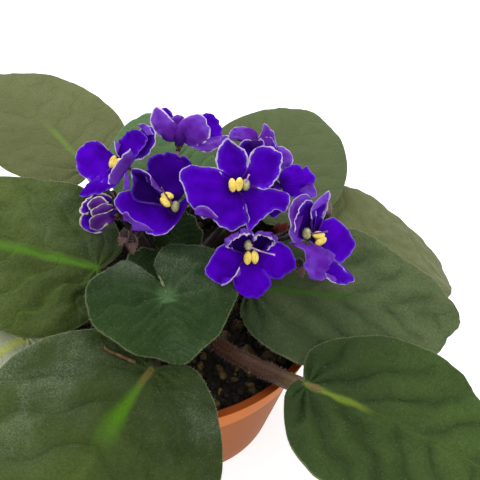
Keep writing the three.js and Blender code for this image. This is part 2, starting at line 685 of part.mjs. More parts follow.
add("pot", makePot(), terracotta);
add("soil", makeSoil(), earth);
add("crown", crownSolid(), stalkBrown);
for (const [name, leaf] of Object.entries(LEAVES)) add(name, makeLeaf(leaf), leafGreen);
for (const [name, flower] of Object.entries(FLOWERS)) {
  add(`${name}_corolla`, makeCorolla(flower), petalViolet);
  if (!flower.closed) add(`${name}_anthers`, makeAnthers(flower), antherYellow);
}
for (const [name, peduncle] of Object.entries(PEDUNCLES)) add(name, makePeduncle(peduncle), stalkBrown);

export default plant;
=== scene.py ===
"""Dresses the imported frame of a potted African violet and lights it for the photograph's view.

The plant stands in a squat terracotta-coloured pot: a rosette of hairy heart-shaped leaves round a
cluster of violet flowers with white frilled edges. Sizes in this file are millimetres and degrees
unless a name says otherwise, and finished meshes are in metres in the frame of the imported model.
"""

from __future__ import annotations

import logging
import math
from collections.abc import Sequence
from dataclasses import dataclass, field, replace
from enum import Enum

import bpy
import numpy as np
from mathutils import Matrix, Vector


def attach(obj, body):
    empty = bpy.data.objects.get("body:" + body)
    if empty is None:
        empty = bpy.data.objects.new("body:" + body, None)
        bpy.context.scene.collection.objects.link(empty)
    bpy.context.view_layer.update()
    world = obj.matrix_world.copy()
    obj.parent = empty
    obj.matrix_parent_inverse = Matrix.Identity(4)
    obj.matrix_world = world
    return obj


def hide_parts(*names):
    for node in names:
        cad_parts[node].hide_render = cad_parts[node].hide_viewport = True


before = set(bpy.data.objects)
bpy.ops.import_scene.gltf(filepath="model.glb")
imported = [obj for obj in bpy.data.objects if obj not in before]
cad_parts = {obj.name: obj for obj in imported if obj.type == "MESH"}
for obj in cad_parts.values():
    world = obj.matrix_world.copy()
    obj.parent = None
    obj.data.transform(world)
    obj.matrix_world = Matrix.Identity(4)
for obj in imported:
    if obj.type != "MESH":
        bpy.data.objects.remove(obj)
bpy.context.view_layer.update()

log = logging.getLogger("african_violet")

MM = 0.001
DEG = math.pi / 180
BODY = "root"

UP = np.array([0.0, 0.0, 1.0])

Array = np.ndarray
Colour = tuple[float, float, float, float]
Material = bpy.types.Material
Piece = bpy.types.Object
Point = tuple[float, float, float]
Socket = bpy.types.NodeSocket


def tint(red: int, green: int, blue: int) -> Colour:
    """Turns a colour given as 0 to 255 screen values into the linear values that a shader takes.

    Args:
        red: Red on the screen.
        green: Green on the screen.
        blue: Blue on the screen.

    Returns:
        The linear colour with full alpha.
    """
    shares = [c / 255 for c in (red, green, blue)]
    linear = [((c + 0.055) / 1.055) ** 2.4 if c > 0.04 else c / 12.92 for c in shares]
    return (linear[0], linear[1], linear[2], 1.0)


def smooth(low: float, high: float, value: Array) -> Array:
    """Rises softly from 0 at low to 1 at high."""
    t = np.clip((value - low) / (high - low), 0, 1)
    return t * t * (3 - 2 * t)


def unit(vectors: Array) -> Array:
    """Scales vectors to length one."""
    return vectors / np.maximum(np.linalg.norm(vectors, axis=-1, keepdims=True), 1e-12)


def turn_about(vectors: Array, axis: str, angle: float) -> Array:
    """Turns vectors by an angle in degrees about the axis "X", "Y" or "Z"."""
    return vectors @ np.array(Matrix.Rotation(angle * DEG, 3, axis)).T


def toward(azimuth: float, elevation: float = 0.0) -> Array:
    """A heading as a unit vector.

    Args:
        azimuth: Degrees round the Z axis, from X.
        elevation: Degrees up from level.

    Returns:
        The vector.
    """
    level = math.cos(elevation * DEG)
    turn = azimuth * DEG
    return np.array([math.cos(turn) * level, math.sin(turn) * level, math.sin(elevation * DEG)])


class Waves:
    """A smooth random field made of a few seeded plane waves."""

    def __init__(self, seed: int, wavelength: float, count: int = 14, spread: float = 0.6) -> None:
        """Draws the waves.

        Args:
            seed: Seed of the field.
            wavelength: Typical wavelength, in the units of the points that are asked for.
            count: Number of waves.
            spread: How much the wavelengths differ.
        """
        random = np.random.default_rng(seed)
        heading = unit(random.normal(size=(count, 3)))
        length = wavelength * np.exp(random.uniform(-spread, spread, count))
        self.waves = heading * (2 * math.pi / length)[:, None]
        self.phases = random.uniform(0, 2 * math.pi, count)
        self.scale = math.sqrt(2 / count)

    def at(self, points: Array) -> Array:
        """Gives the field's value, mostly between -1.5 and 1.5, at each point."""
        return np.sin(points @ self.waves.T + self.phases).sum(-1) * self.scale


# Meshes


@dataclass
class Surface:
    """Points, faces and per-point numbers of a piece while it is being made.

    Attributes:
        points: Places in millimetres.
        faces: Corners of each face, as indices of points.
        numbers: Named values at each point, which the finishes read.
    """

    points: Array
    faces: list[tuple[int, ...]]
    numbers: dict[str, Array] = field(default_factory=dict)

    def normals(self) -> Array:
        """Averages a unit normal at each point from the faces round it.

        Returns:
            The normals.
        """
        total = np.zeros_like(self.points)
        for size in (3, 4):
            ring = np.array([f for f in self.faces if len(f) == size], int).reshape(-1, size)
            corners = self.points[ring]
            first, second = (corners[:, 1], corners[:, 0]) if size == 3 else (corners[:, 2], corners[:, 1])
            across = np.cross(first - corners[:, 0], corners[:, -1] - second)
            for k in range(size):
                np.add.at(total, ring[:, k], across)
        return unit(total)

    def joined(self, other: "Surface") -> "Surface":
        """Puts another surface into the same piece, with zero for any number that one of them lacks.

        Args:
            other: The other surface.

        Returns:
            Both together.
        """
        shift = len(self.points)
        numbers = {}
        for name in {**self.numbers, **other.numbers}:
            mine = self.numbers.get(name, np.zeros(shift))
            theirs = other.numbers.get(name, np.zeros(len(other.points)))
            numbers[name] = np.concatenate([mine, theirs])
        faces = self.faces + [tuple(i + shift for i in f) for f in other.faces]
        return Surface(np.concatenate([self.points, other.points]), faces, numbers)


def grid_faces(rows: int, columns: int, wrap: bool = False) -> list[tuple[int, ...]]:
    """Faces of a grid of points laid out row by row.

    Args:
        rows: Number of rows of points.
        columns: Number of points in a row.
        wrap: Whether the last column joins the first one.

    Returns:
        The faces, each with four corners.
    """
    faces = []
    for i in range(rows - 1):
        for j in range(columns if wrap else columns - 1):
            k = (j + 1) % columns
            faces.append((i * columns + j, i * columns + k, (i + 1) * columns + k, (i + 1) * columns + j))
    return faces


def capped(rings: int, sides: int) -> list[tuple[int, ...]]:
    """Faces of a stack of rings of points, and of the two points after them that close its ends.

    Args:
        rings: Number of rings.
        sides: Number of points in a ring.

    Returns:
        The faces.
    """
    faces = grid_faces(rings, sides, wrap=True)
    start = rings * sides
    last = start - sides
    for j in range(sides):
        k = (j + 1) % sides
        faces.append((start, k, j))
        faces.append((start + 1, last + j, last + k))
    return faces


def shell(sheet: Surface, edge: list[int], thickness: Array) -> Surface:
    """Gives a thin sheet its two sides and the narrow band that closes them.

    Args:
        sheet: The middle surface.
        edge: Its outline, as indices in order round it, with the faces' own sense of turning.
        thickness: Thickness at each point.

    Returns:
        A closed surface whose number "under" is 1 on the second side.
    """
    normals = sheet.normals()
    half = (thickness / 2)[:, None] * normals
    count = len(sheet.points)
    points = np.concatenate([sheet.points + half, sheet.points - half])
    faces = list(sheet.faces) + [tuple(i + count for i in reversed(f)) for f in sheet.faces]
    for a, b in zip(edge, edge[1:] + edge[:1]):
        faces.append((b, a, a + count, b + count))
    numbers = {name: np.concatenate([values, values]) for name, values in sheet.numbers.items()}
    numbers["under"] = np.concatenate([np.zeros(count), np.ones(count)])
    return Surface(points, faces, numbers)


def tube(path: Array, radii: Array, sides: int = 12, flatten: float = 1.0) -> Surface:
    """A closed round stem along a path.

    Args:
        path: Points of its middle line.
        radii: Radius at each of them.
        sides: Number of sides.
        flatten: Share of the radius that is kept in the direction nearest to vertical.

    Returns:
        The surface, with "along" from 0 to 1 and "around" from 0 to 1.
    """
    path = np.asarray(path, float)
    ahead = unit(np.gradient(path, axis=0))
    side = unit(np.cross(ahead[0], [0.0, 0.0, 1.0]) + np.array([1e-6, 0, 0]))
    rings = []
    for centre, heading, radius in zip(path, ahead, radii):
        side = unit(side - heading * (side @ heading))
        lift = np.cross(side, heading)
        angle = np.linspace(0, 2 * math.pi, sides, endpoint=False)[:, None]
        rings.append(centre + radius * (np.cos(angle) * side + flatten * np.sin(angle) * lift))
    points = np.concatenate([*rings, path[:1], path[-1:]])
    along = np.repeat(np.linspace(0, 1, len(path)), sides)
    around = np.tile(np.arange(sides) / sides, len(path))
    numbers = {"along": np.append(along, [0, 1]), "around": np.append(around, [0, 0])}
    return outward(Surface(points, capped(len(path), sides), numbers))


def outward(body: Surface) -> Surface:
    """Turns a closed surface's faces outwards if they point in.

    Args:
        body: The surface.

    Returns:
        The same surface.
    """
    volume = 0.0
    for face in body.faces:
        a = body.points[face[0]]
        for i in range(1, len(face) - 1):
            volume += float(np.dot(a, np.cross(body.points[face[i]], body.points[face[i + 1]])))
    if volume < 0:
        body.faces = [tuple(reversed(f)) for f in body.faces]
    return body


def lathe(profile: list[tuple[float, float]], sides: int) -> Surface:
    """Turns a profile of radius and height round the Z axis.

    Args:
        profile: Radii and heights from one end to the other, both ends on the axis.
        sides: Number of sides.

    Returns:
        The closed surface.
    """
    middle = profile[1:-1]
    angle = np.linspace(0, 2 * math.pi, sides, endpoint=False)
    rings = [np.stack([r * np.cos(angle), r * np.sin(angle), np.full(sides, z)], -1) for r, z in middle]
    ends = np.array([[0, 0, profile[0][1]], [0, 0, profile[-1][1]]])
    points = np.concatenate([*rings, ends])
    return outward(Surface(points, capped(len(middle), sides)))


def ball(radii: Point, rows: int, sides: int) -> Surface:
    """An ellipsoid with its poles on the Z axis.

    Args:
        radii: Half of its size along each axis.
        rows: Number of bands from pole to pole.
        sides: Number of sides round the axis.

    Returns:
        The closed surface.
    """
    polar = np.linspace(0, math.pi, rows + 1)
    body = lathe([(math.sin(a), -math.cos(a)) for a in polar], sides)
    body.points = body.points * np.array(radii)
    return body


def bezier(points: list[Array], count: int) -> Array:
    """Points along a cubic Bezier curve.

    Args:
        points: Its four control points.
        count: Number of points.

    Returns:
        The points.
    """
    t = np.linspace(0, 1, count)[:, None]
    a, b, c, d = [np.asarray(p, float) for p in points]
    return a * (1 - t) ** 3 + 3 * b * t * (1 - t) ** 2 + 3 * c * t**2 * (1 - t) + d * t**3


def through(points: Sequence, count: int) -> Array:
    """Points along a smooth line through the given ones, evenly spread by length.

    Args:
        points: Places in the first three columns, and any numbers that go with them in the others.
        count: Number of points.

    Returns:
        The points, with the same columns.
    """
    knots = np.asarray(points, float)
    ends = np.concatenate([[2 * knots[0] - knots[1]], knots, [2 * knots[-1] - knots[-2]]])
    fine = []
    for i in range(len(knots) - 1):
        p0, p1, p2, p3 = ends[i : i + 4]
        t = np.linspace(0, 1, 24, endpoint=i == len(knots) - 2)[:, None]
        square = (2 * p0 - 5 * p1 + 4 * p2 - p3) * t**2
        cube = (3 * p1 - p0 - 3 * p2 + p3) * t**3
        fine.append(0.5 * (2 * p1 + (p2 - p0) * t + square + cube))
    line = np.concatenate(fine)
    length = np.concatenate([[0], np.cumsum(np.linalg.norm(np.diff(line[:, :3], axis=0), axis=1))])
    wanted = np.linspace(0, length[-1], count)
    return np.stack([np.interp(wanted, length, column) for column in line.T], -1)


def to_object(name: str, body: Surface, finish: Material) -> Piece:
    """Makes a Blender object of a surface, at the origin, with its place in its mesh.

    Args:
        name: Name of the piece.
        body: The surface, in millimetres.
        finish: Its material.

    Returns:
        The object, linked to the scene.
    """
    mesh = bpy.data.meshes.new(name)
    mesh.from_pydata((body.points * MM).tolist(), [], body.faces)
    for label, values in body.numbers.items():
        attribute = mesh.attributes.new(label, "FLOAT", "POINT")
        attribute.data.foreach_set("value", np.asarray(values, np.float32))
    mesh.materials.append(finish)
    mesh.shade_smooth()
    piece = bpy.data.objects.new(name, mesh)
    bpy.context.scene.collection.objects.link(piece)
    return piece


def settle(piece: Piece) -> None:
    """Turns a piece with modifiers into the plain mesh that they make.

    Args:
        piece: The piece.
    """
    bpy.context.view_layer.update()
    evaluated = piece.evaluated_get(bpy.context.evaluated_depsgraph_get())
    plain = bpy.data.meshes.new_from_object(evaluated)
    old = piece.data
    piece.modifiers.clear()
    piece.data = plain
    plain.name = piece.name
    bpy.data.meshes.remove(old)


def enrol(piece: Piece, slot: str, *nodes: str) -> Piece:
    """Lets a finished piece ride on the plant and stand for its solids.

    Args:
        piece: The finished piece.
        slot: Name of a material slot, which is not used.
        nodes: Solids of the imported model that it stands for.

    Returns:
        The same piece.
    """
    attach(piece, BODY)
    if nodes:
        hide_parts(*nodes)
    log.info("%s: %d faces", piece.name, len(piece.data.polygons))
    return piece


# Node trees


class Graph:
    """Lays out a node tree one node at a time."""

    def __init__(self, tree: bpy.types.NodeTree) -> None:
        """Keeps the tree that the nodes go into."""
        self.tree = tree

    def put(self, socket: Socket, value: object) -> None:
        """Links an input to another node, or sets its value.

        Args:
            socket: The input.
            value: Another node's output, or a plain value.
        """
        if isinstance(value, Socket):
            self.tree.links.new(value, socket)
        else:
            socket.default_value = value

    def node(self, kind: str, numbered: dict | None = None, **named: object) -> bpy.types.Node:
        """Adds a node.

        Args:
            kind: Blender's name of the node's type.
            numbered: Its inputs by number.
            named: Its properties, in small letters, and its inputs, with an underscore for each space.

        Returns:
            The node.
        """
        made = self.tree.nodes.new(kind)
        for key in filter(str.islower, named):
            setattr(made, key, named[key])
        for key, value in (numbered or {}).items():
            self.put(made.inputs[key], value)
        for key, value in named.items():
            if not key.islower():
                self.put(made.inputs[key.replace("_", " ")], value)
        return made

    def sum(self, kind: str, a: object, b: object, clamp: bool = False) -> Socket:
        """Works out one sum of numbers, and keeps the result between 0 and 1 if asked."""
        return self.node("ShaderNodeMath", {0: a, 1: b}, operation=kind, use_clamp=clamp).outputs[0]

    def times(self, a: object, b: object) -> Socket:
        """Multiplies two numbers."""
        return self.sum("MULTIPLY", a, b)

    def plus(self, a: object, b: object, clamp: bool = False) -> Socket:
        """Adds two numbers."""
        return self.sum("ADD", a, b, clamp)


class Painter(Graph):
    """Lays out a procedural material on one principled shader."""

    def __init__(self, name: str) -> None:
        """Starts an empty material.

        Args:
            name: Name of the finish.
        """
        self.material = bpy.data.materials.new(name)
        self.material.use_nodes = True
        super().__init__(self.material.node_tree)
        self.tree.nodes.clear()
        self.shader = self.node("ShaderNodeBsdfPrincipled")
        self.node("ShaderNodeOutputMaterial", Surface=self.shader.outputs["BSDF"])
        self.places = self.node("ShaderNodeTexCoord").outputs["Object"]
        self.colour: object = None

    def number(self, name: str) -> Socket:
        """Reads one of the mesh's named numbers."""
        return self.node("ShaderNodeAttribute", attribute_name=name).outputs["Fac"]

    def ease(self, value: object, low: float, high: float, start: float = 0.0, end: float = 1.0) -> Socket:
        """Turns a number from low to high into one that goes softly from start to end."""
        numbers = dict(enumerate((value, low, high, start, end)))
        return self.node("ShaderNodeMapRange", numbers, interpolation_type="SMOOTHSTEP").outputs[0]

    def noise(self, scale: float, detail: float = 3, rough: float = 0.5, stretch: Point = ()) -> Socket:
        """A cloudy pattern in the piece's own space.

        Args:
            scale: Patches per metre.
            detail: How many finer layers it has.
            rough: How strong these are.
            stretch: Scale on each axis, where the patches are drawn out.

        Returns:
            The socket of its value, about 0.5 in the middle.
        """
        places = self.places
        if stretch:
            places = self.node("ShaderNodeMapping", Vector=places, Scale=stretch).outputs[0]
        made = self.node("ShaderNodeTexNoise", Vector=places, Scale=scale, Detail=detail, Roughness=rough)
        return made.outputs["Fac"]

    def about(self, pattern: Socket, amount: float) -> Socket:
        """Lets a pattern swing about zero by an amount."""
        return self.times(self.sum("SUBTRACT", pattern, 0.5), amount)

    def cells(self, scale: float, feature: str = "F1") -> Socket:
        """Distance within small cells in the piece's own space."""
        made = self.node("ShaderNodeTexVoronoi", Vector=self.places, Scale=scale, feature=feature)
        return made.outputs["Distance"]

    def mix(self, share: object, a: object, b: object, kind: str = "MIX") -> Socket:
        """Mixes two colours, or sockets of colours, by the share of the second one."""
        made = self.node("ShaderNodeMix", {0: share, 6: a, 7: b}, data_type="RGBA", blend_type=kind)
        return made.outputs[2]

    def lay(self, colour: object, share: object, kind: str = "MIX") -> None:
        """Lays a colour over what is painted so far, as far as the share says."""
        self.colour = self.mix(share, self.colour, colour, kind)

    def coat(self, **values: object) -> None:
        """Sets or links the shader's sockets, named with an underscore for each space."""
        for key, value in values.items():
            self.put(self.shader.inputs[key.replace("_", " ")], value)

    def relief(self, height: Socket, depth: float, strength: float) -> None:
        """Adds small bumps to those that are there already.

        Args:
            height: Height of the surface, 0 to 1.
            depth: Height of a bump in metres.
            strength: How much of it shows.
        """
        links = self.shader.inputs["Normal"].links
        before = {"Normal": links[0].from_socket} if links else {}
        bumps = self.node("ShaderNodeBump", Height=height, Distance=depth, Strength=strength, **before)
        self.coat(Normal=bumps.outputs[0])


# Finishes

WHITE = (1.0, 1.0, 1.0, 1.0)


class Look:
    """A finish that paints a material from its own colours and sizes."""

    def paint(self, p: Painter) -> None:
        """Lays its colours, gloss and relief, which each finish does in its own way."""
        raise NotImplementedError(p)

    def make(self, name: str) -> Material:
        """Makes the material.

        Args:
            name: Name of the finish.

        Returns:
            The material.
        """
        p = Painter(name)
        self.paint(p)
        return p.material


@dataclass(frozen=True)
class LeafFinish(Look):
    """The upper and lower skin of a hairy leaf.

    Attributes:
        light: Colour of the blade where it is palest, its lit copy of the green.
        dark: Colour of the blade where it is darkest, its shaded copy, also used for fine dark mottling.
        vein: Colour of the side veins, on the darker greens also painted shade along their sunken lines.
        glow: Colour along the midrib near the petiole.
        glow_reach: How far along the blade that colour goes, as a share of its length.
        glow_width: Half width of that colour in millimetres.
        flare: How much wider it gets on its way, as a share of its width.
        under: Colour of the lower side.
        down_sheen: How much the painted sheen specks of the down show, 0 to 1.
        valley_shade: How dark the painted shade in the hollows beside the side veins is, 0 to 1.
        heel: How brown the midrib is where the petiole meets it, 0 to 1.
    """

    light: Colour
    dark: Colour
    vein: Colour
    glow: Colour
    glow_reach: float = 0.5
    glow_width: float = 2.4
    flare: float = 0.0
    under: Colour = tint(118, 124, 92)
    down_sheen: float = 0.3
    valley_shade: float = 0.15
    heel: float = 0.0

    def paint(self, p: Painter) -> None:
        """Paints the blade and its painted shade, veins, glow, down's painted sheen and lower side.

        Args:
            p: The material's painter.
        """
        grain = p.noise(700, 3, 0.65)
        along = p.number("along")
        rim = p.number("rim")
        # Painted shade, with random mottling on top, mixes the blade from its lit green into its shaded
        # green.
        shade_and_mottling = p.plus(p.number("dusk"), p.about(p.noise(60, 5, 0.6), 1.1), clamp=True)
        p.colour = p.mix(shade_and_mottling, self.light, self.dark)
        line = p.times(p.sum("PINGPONG", p.number("vein_phase"), 0.5), p.number("vein_gap"))
        on_vein = p.ease(line, 0.1, 1.7, 1.0, 0.0)
        inside = p.ease(rim, 1.5, 12.0)
        # Painted shade in the hollows beside the side veins.
        p.lay(self.dark, p.times(p.ease(line, 0.0, 4.5, self.valley_shade, 0.0), inside))
        # The side veins' own colour; on the darker greens it also stands in for painted shade in the sunken
        # veins.
        p.lay(self.vein, p.times(on_vein, p.times(inside, 0.3)))
        p.lay(self.vein, p.ease(p.cells(260, "DISTANCE_TO_EDGE"), 0.0, 0.12, 0.12, 0.0))
        p.lay(self.dark, p.ease(p.noise(1150, 3, 0.7), 0.35, 0.62, 0.35, 0.0))
        wide = p.times(p.ease(along, 0.0, self.glow_reach, 1.0, 1.0 + self.flare), self.glow_width)
        rib = p.plus(p.sum("DIVIDE", p.number("across"), wide), p.about(p.noise(170, 3), 0.8))
        on_rib = p.ease(rib, 0.2, 1.45, 1.0, 0.0)
        fades = p.ease(along, self.glow_reach * 0.7, self.glow_reach * 1.15, 1.0, 0.08)
        p.lay(self.glow, p.times(on_rib, fades))
        p.lay(tint(92, 76, 42), p.times(on_rib, p.ease(along, 0.03, 0.1, self.heel, 0.0)))
        # Painted sheen: a soft grey film and pale specks where the down catches the light.
        sheen_speck = p.ease(p.noise(1900, 2, 0.7), 0.42, 0.66)
        sheen_film = p.times(p.ease(p.noise(90, 4, 0.6), 0.36, 0.66, 0.15, 1.0), p.number("haze"))
        p.lay(tint(84, 98, 78), p.times(sheen_film, 0.25))
        p.lay(tint(132, 144, 122), p.times(p.times(sheen_speck, sheen_film), self.down_sheen))
        p.lay(tint(122, 130, 92), p.ease(p.plus(rim, p.times(grain, 0.6)), 0.35, 0.9, 0.4, 0.0))
        under = p.mix(p.times(on_vein, 0.6), self.under, tint(146, 150, 112))
        # The lower side darkens with the same painted shade and mottling.
        p.lay(p.mix(shade_and_mottling, under, tint(92, 98, 68)), p.number("under"))
        p.coat(Base_Color=p.colour, Roughness=p.ease(grain, 0.3, 0.7, 0.5, 0.68))
        p.coat(Sheen_Weight=0.02, Sheen_Roughness=0.4, Sheen_Tint=tint(214, 226, 196))
        p.coat(Specular_IOR_Level=0.05)
        p.relief(p.ease(p.cells(900), 0.0, 0.7, 1.0, 0.0), 0.00022, 0.6)
        p.relief(p.ease(line, 0.0, 1.2), 0.0004, 0.5)


class LeafTone(Enum):
    """The leaves' greens: pale ones behind, paler partly as painted sheen, and a deep young one in front."""

    # The pale greys of the back leaves stand partly for painted sheen.
    OLIVE = LeafFinish(tint(96, 100, 64), tint(68, 74, 41), tint(86, 93, 55), tint(88, 106, 50), 0.4, 1.6)
    SAGE = LeafFinish(tint(82, 92, 59), tint(67, 77, 49), tint(79, 91, 58), tint(78, 100, 46), 0.4, 1.4)
    FRESH = LeafFinish(tint(78, 104, 66), tint(64, 90, 55), tint(80, 104, 65), tint(84, 110, 58), 0.4, 1.4)
    ASHEN = LeafFinish(
        tint(224, 228, 204), tint(196, 202, 172), tint(220, 224, 190), tint(232, 238, 128), 1.2, 2.2
    )
    BRIGHT = LeafFinish(tint(79, 92, 42), tint(34, 46, 15), tint(76, 96, 36), tint(62, 96, 20), 1.1, 1.9, 1.0)
    DEEP = LeafFinish(tint(42, 63, 28), tint(24, 39, 16), tint(50, 74, 38), tint(60, 86, 50), 0.12, 3.4)
    DUSKY = LeafFinish(
        tint(71, 84, 38), tint(34, 46, 16), tint(51, 66, 27), tint(60, 96, 10), 0.3, 1.1, 2.4, valley_shade=0.3,
        heel=1,
    )
    SHADY = LeafFinish(
        tint(64, 83, 38), tint(32, 45, 21), tint(38, 54, 24), tint(92, 108, 34), 0.28, 1.3, valley_shade=0.36
    )
    MOSS = LeafFinish(
        tint(82, 93, 60), tint(36, 49, 26), tint(54, 68, 42), tint(50, 80, 26), 0.5, 1.1, valley_shade=0.3
    )


@dataclass(frozen=True)
class StemFinish(Look):
    """The skin of a petiole or a flower stalk, which changes colour along it.

    Attributes:
        foot: Colour where it leaves the crown.
        head: Colour where it carries the blade or the flower.
        turn: Where along it the first colour starts to give way, 0 to 1.
        ribs: How strong its fine lengthwise lines are.
    """

    foot: Colour
    head: Colour
    turn: float = 0.6
    ribs: float = 0.4

    def paint(self, p: Painter) -> None:
        """Paints the change of colour, the fine lines and the dark specks.

        Args:
            p: The material's painter.
        """
        patches = p.noise(240, 4, 0.6)
        place = p.plus(p.number("along"), p.about(patches, 0.3))
        p.colour = p.mix(p.ease(place, self.turn, min(1.0, self.turn + 0.3)), self.foot, self.head)
        streak = p.sum("PINGPONG", p.times(p.number("around"), 9.0), 0.5)
        lines = p.ease(p.plus(streak, p.times(patches, 0.3)), 0.2, 0.6)
        p.lay(tint(150, 118, 100), p.times(lines, self.ribs), "SOFT_LIGHT")
        p.lay(tint(40, 26, 20), p.ease(p.noise(900, 2), 0.45, 0.75, 0.0, 0.35))
        p.coat(Base_Color=p.colour, Roughness=p.ease(patches, 0.3, 0.7, 0.42, 0.62))
        p.coat(Sheen_Weight=0.06, Sheen_Roughness=0.4, Sheen_Tint=tint(226, 206, 196))
        p.coat(Specular_IOR_Level=0.2)
        p.relief(lines, 0.00025, 0.6)
        p.relief(p.noise(1300, 2), 0.00012, 0.5)


@dataclass(frozen=True)
class PetalFinish(Look):
    """The velvety petal with its pale uneven edge.

    Attributes:
        face: Colour of the open side.
        throat: Colour that darkens the petals towards the middle of the flower, and their painted shade.
        back: Colour of the outer side.
        back_deep: Colour of its darker patches.
        halo: Colour of the open side next to the edge.
        back_halo: Colour of the outer side next to the edge.
        edge: Colour of the frilled edge.
        edge_width: Width of that edge in millimetres.
    """

    face: Colour = tint(72, 0, 172)
    throat: Colour = tint(26, 0, 70)
    back: Colour = tint(106, 60, 184)
    back_deep: Colour = tint(82, 24, 142)
    halo: Colour = tint(86, 34, 182)
    back_halo: Colour = tint(108, 68, 168)
    edge: Colour = tint(192, 176, 206)
    edge_width: float = 0.3

    def paint(self, p: Painter) -> None:
        """Paints both sides with their painted shade, the fine veins, the halo and the pale edge.

        Args:
            p: The material's painter.
        """
        reach = p.number("reach")
        dusk = p.number("dusk")
        pale = p.number("pale")
        under = p.number("under")
        rim = p.sum("DIVIDE", p.number("rim"), p.ease(pale, 0.0, 2.0, 0.7, 2.3))
        broad = p.noise(150, 3, 0.55)
        fine = p.noise(1000, 3, 0.6)
        p.colour = p.mix(p.ease(broad, 0.4, 0.66, 0.0, 0.45), self.face, tint(48, 0, 116))
        # Darker towards the middle of the flower, and painted shade on petals that lie in shade.
        p.lay(self.throat, p.plus(p.ease(reach, 0.08, 0.5, 0.8, 0.0), dusk, clamp=True))
        folds = p.sum("PINGPONG", p.times(p.number("strip"), 6.0), 0.5)
        veins = p.ease(p.plus(folds, p.times(fine, 0.3)), 0.1, 0.45, 1.0, 0.0)
        veins = p.times(veins, p.ease(reach, 0.2, 0.9, 0.22, 0.03))
        p.lay(tint(30, 0, 84), veins)
        back = p.mix(p.ease(broad, 0.35, 0.7), self.back, self.back_deep)
        back = p.mix(p.ease(reach, 0.15, 0.75, 0.5, 0.0), back, tint(74, 14, 116))
        back = p.mix(p.times(veins, 1.2), back, tint(84, 34, 128))
        # The outer side takes the same painted shade.
        p.lay(p.mix(p.times(dusk, 0.6), back, tint(60, 20, 100)), under)
        wander = p.about(p.noise(420, 2), 2.4 * self.edge_width)
        uneven = p.plus(rim, p.plus(wander, p.times(fine, 0.25 * self.edge_width)))
        halo = p.ease(uneven, self.edge_width * 0.8, self.edge_width * 5.0, 0.55, 0.0)
        p.lay(p.mix(under, self.halo, self.back_halo), halo)
        clear = p.times(pale, p.ease(p.noise(110, 2), 0.3, 0.62, 0.65, 1.0))
        line = p.ease(uneven, self.edge_width * 0.5, self.edge_width * 1.3, 1.0, 0.0)
        p.lay(self.edge, p.times(line, clear))
        p.coat(Base_Color=p.colour, Roughness=p.ease(fine, 0.3, 0.7, 0.5, 0.66), Specular_IOR_Level=0.015)
        p.relief(p.cells(2300), 0.00012, 0.5)
        p.relief(veins, 0.0002, 0.5)


@dataclass(frozen=True)
class SpeckledFinish(Look):
    """A plain organic surface with two colours, fine pits and a little shine.

    Attributes:
        first: Main colour.
        second: Colour of the patches.
        scale: Patches per metre.
        roughness: Least and most roughness.
        depth: Depth of the relief in metres.
        fine: Pits per metre.
        lit: How strongly it shines by itself, as a lit studio sweep does.
    """

    first: Colour
    second: Colour
    scale: float
    roughness: tuple[float, float]
    depth: float
    fine: float
    lit: float = 0.0

    def paint(self, p: Painter) -> None:
        """Paints the patches and the pits.

        Args:
            p: The material's painter.
        """
        pits = p.noise(self.fine, 3, 0.65)
        p.colour = p.mix(p.ease(p.noise(self.scale, 4, 0.6), 0.38, 0.64), self.first, self.second)
        p.coat(Base_Color=p.colour, Roughness=p.ease(pits, 0.3, 0.7, *self.roughness))
        p.coat(Specular_IOR_Level=0.25, Emission_Color=WHITE, Emission_Strength=self.lit)
        p.relief(pits, self.depth, 0.6)


@dataclass(frozen=True)
class PotFinish(Look):
    """Terracotta-coloured moulded plastic: satin, faintly flowed, a little scuffed and dusty."""

    # Painted light makes the collar brighter, and painted shade makes the lip darker, than the wall.
    wall: Colour = tint(148, 80, 26)
    collar: Colour = tint(194, 102, 12)
    lip: Colour = tint(104, 46, 14)

    def paint(self, p: Painter) -> None:
        """Paints the wall, the collar's painted light, the lip's painted shade, the scuffs and the soil
        inside.

        Args:
            p: The material's painter.
        """
        flow = p.noise(28, 4, 0.5, (1.0, 1.0, 3.5))
        scuffs = p.ease(p.noise(420, 4, 0.7, (1.0, 1.0, 0.3)), 0.6, 0.8)
        # Painted light on the collar and painted shade on the lip.
        p.colour = p.mix(p.number("collar"), self.wall, self.collar)
        p.lay(self.lip, p.number("lip"))
        p.lay(tint(136, 62, 16), p.ease(flow, 0.3, 0.7, 0.0, 0.25))
        p.lay(tint(190, 116, 60), p.times(scuffs, 0.12))
        p.lay(tint(60, 40, 30), p.times(p.number("inside"), p.ease(p.noise(180, 4), 0.35, 0.6)))
        p.coat(Base_Color=p.colour, Roughness=p.ease(scuffs, 0.0, 1.0, 0.45, 0.65), Specular_IOR_Level=0.035)
        p.relief(p.noise(2400, 2), 0.00005, 0.5)
        p.relief(flow, 0.0002, 0.15)


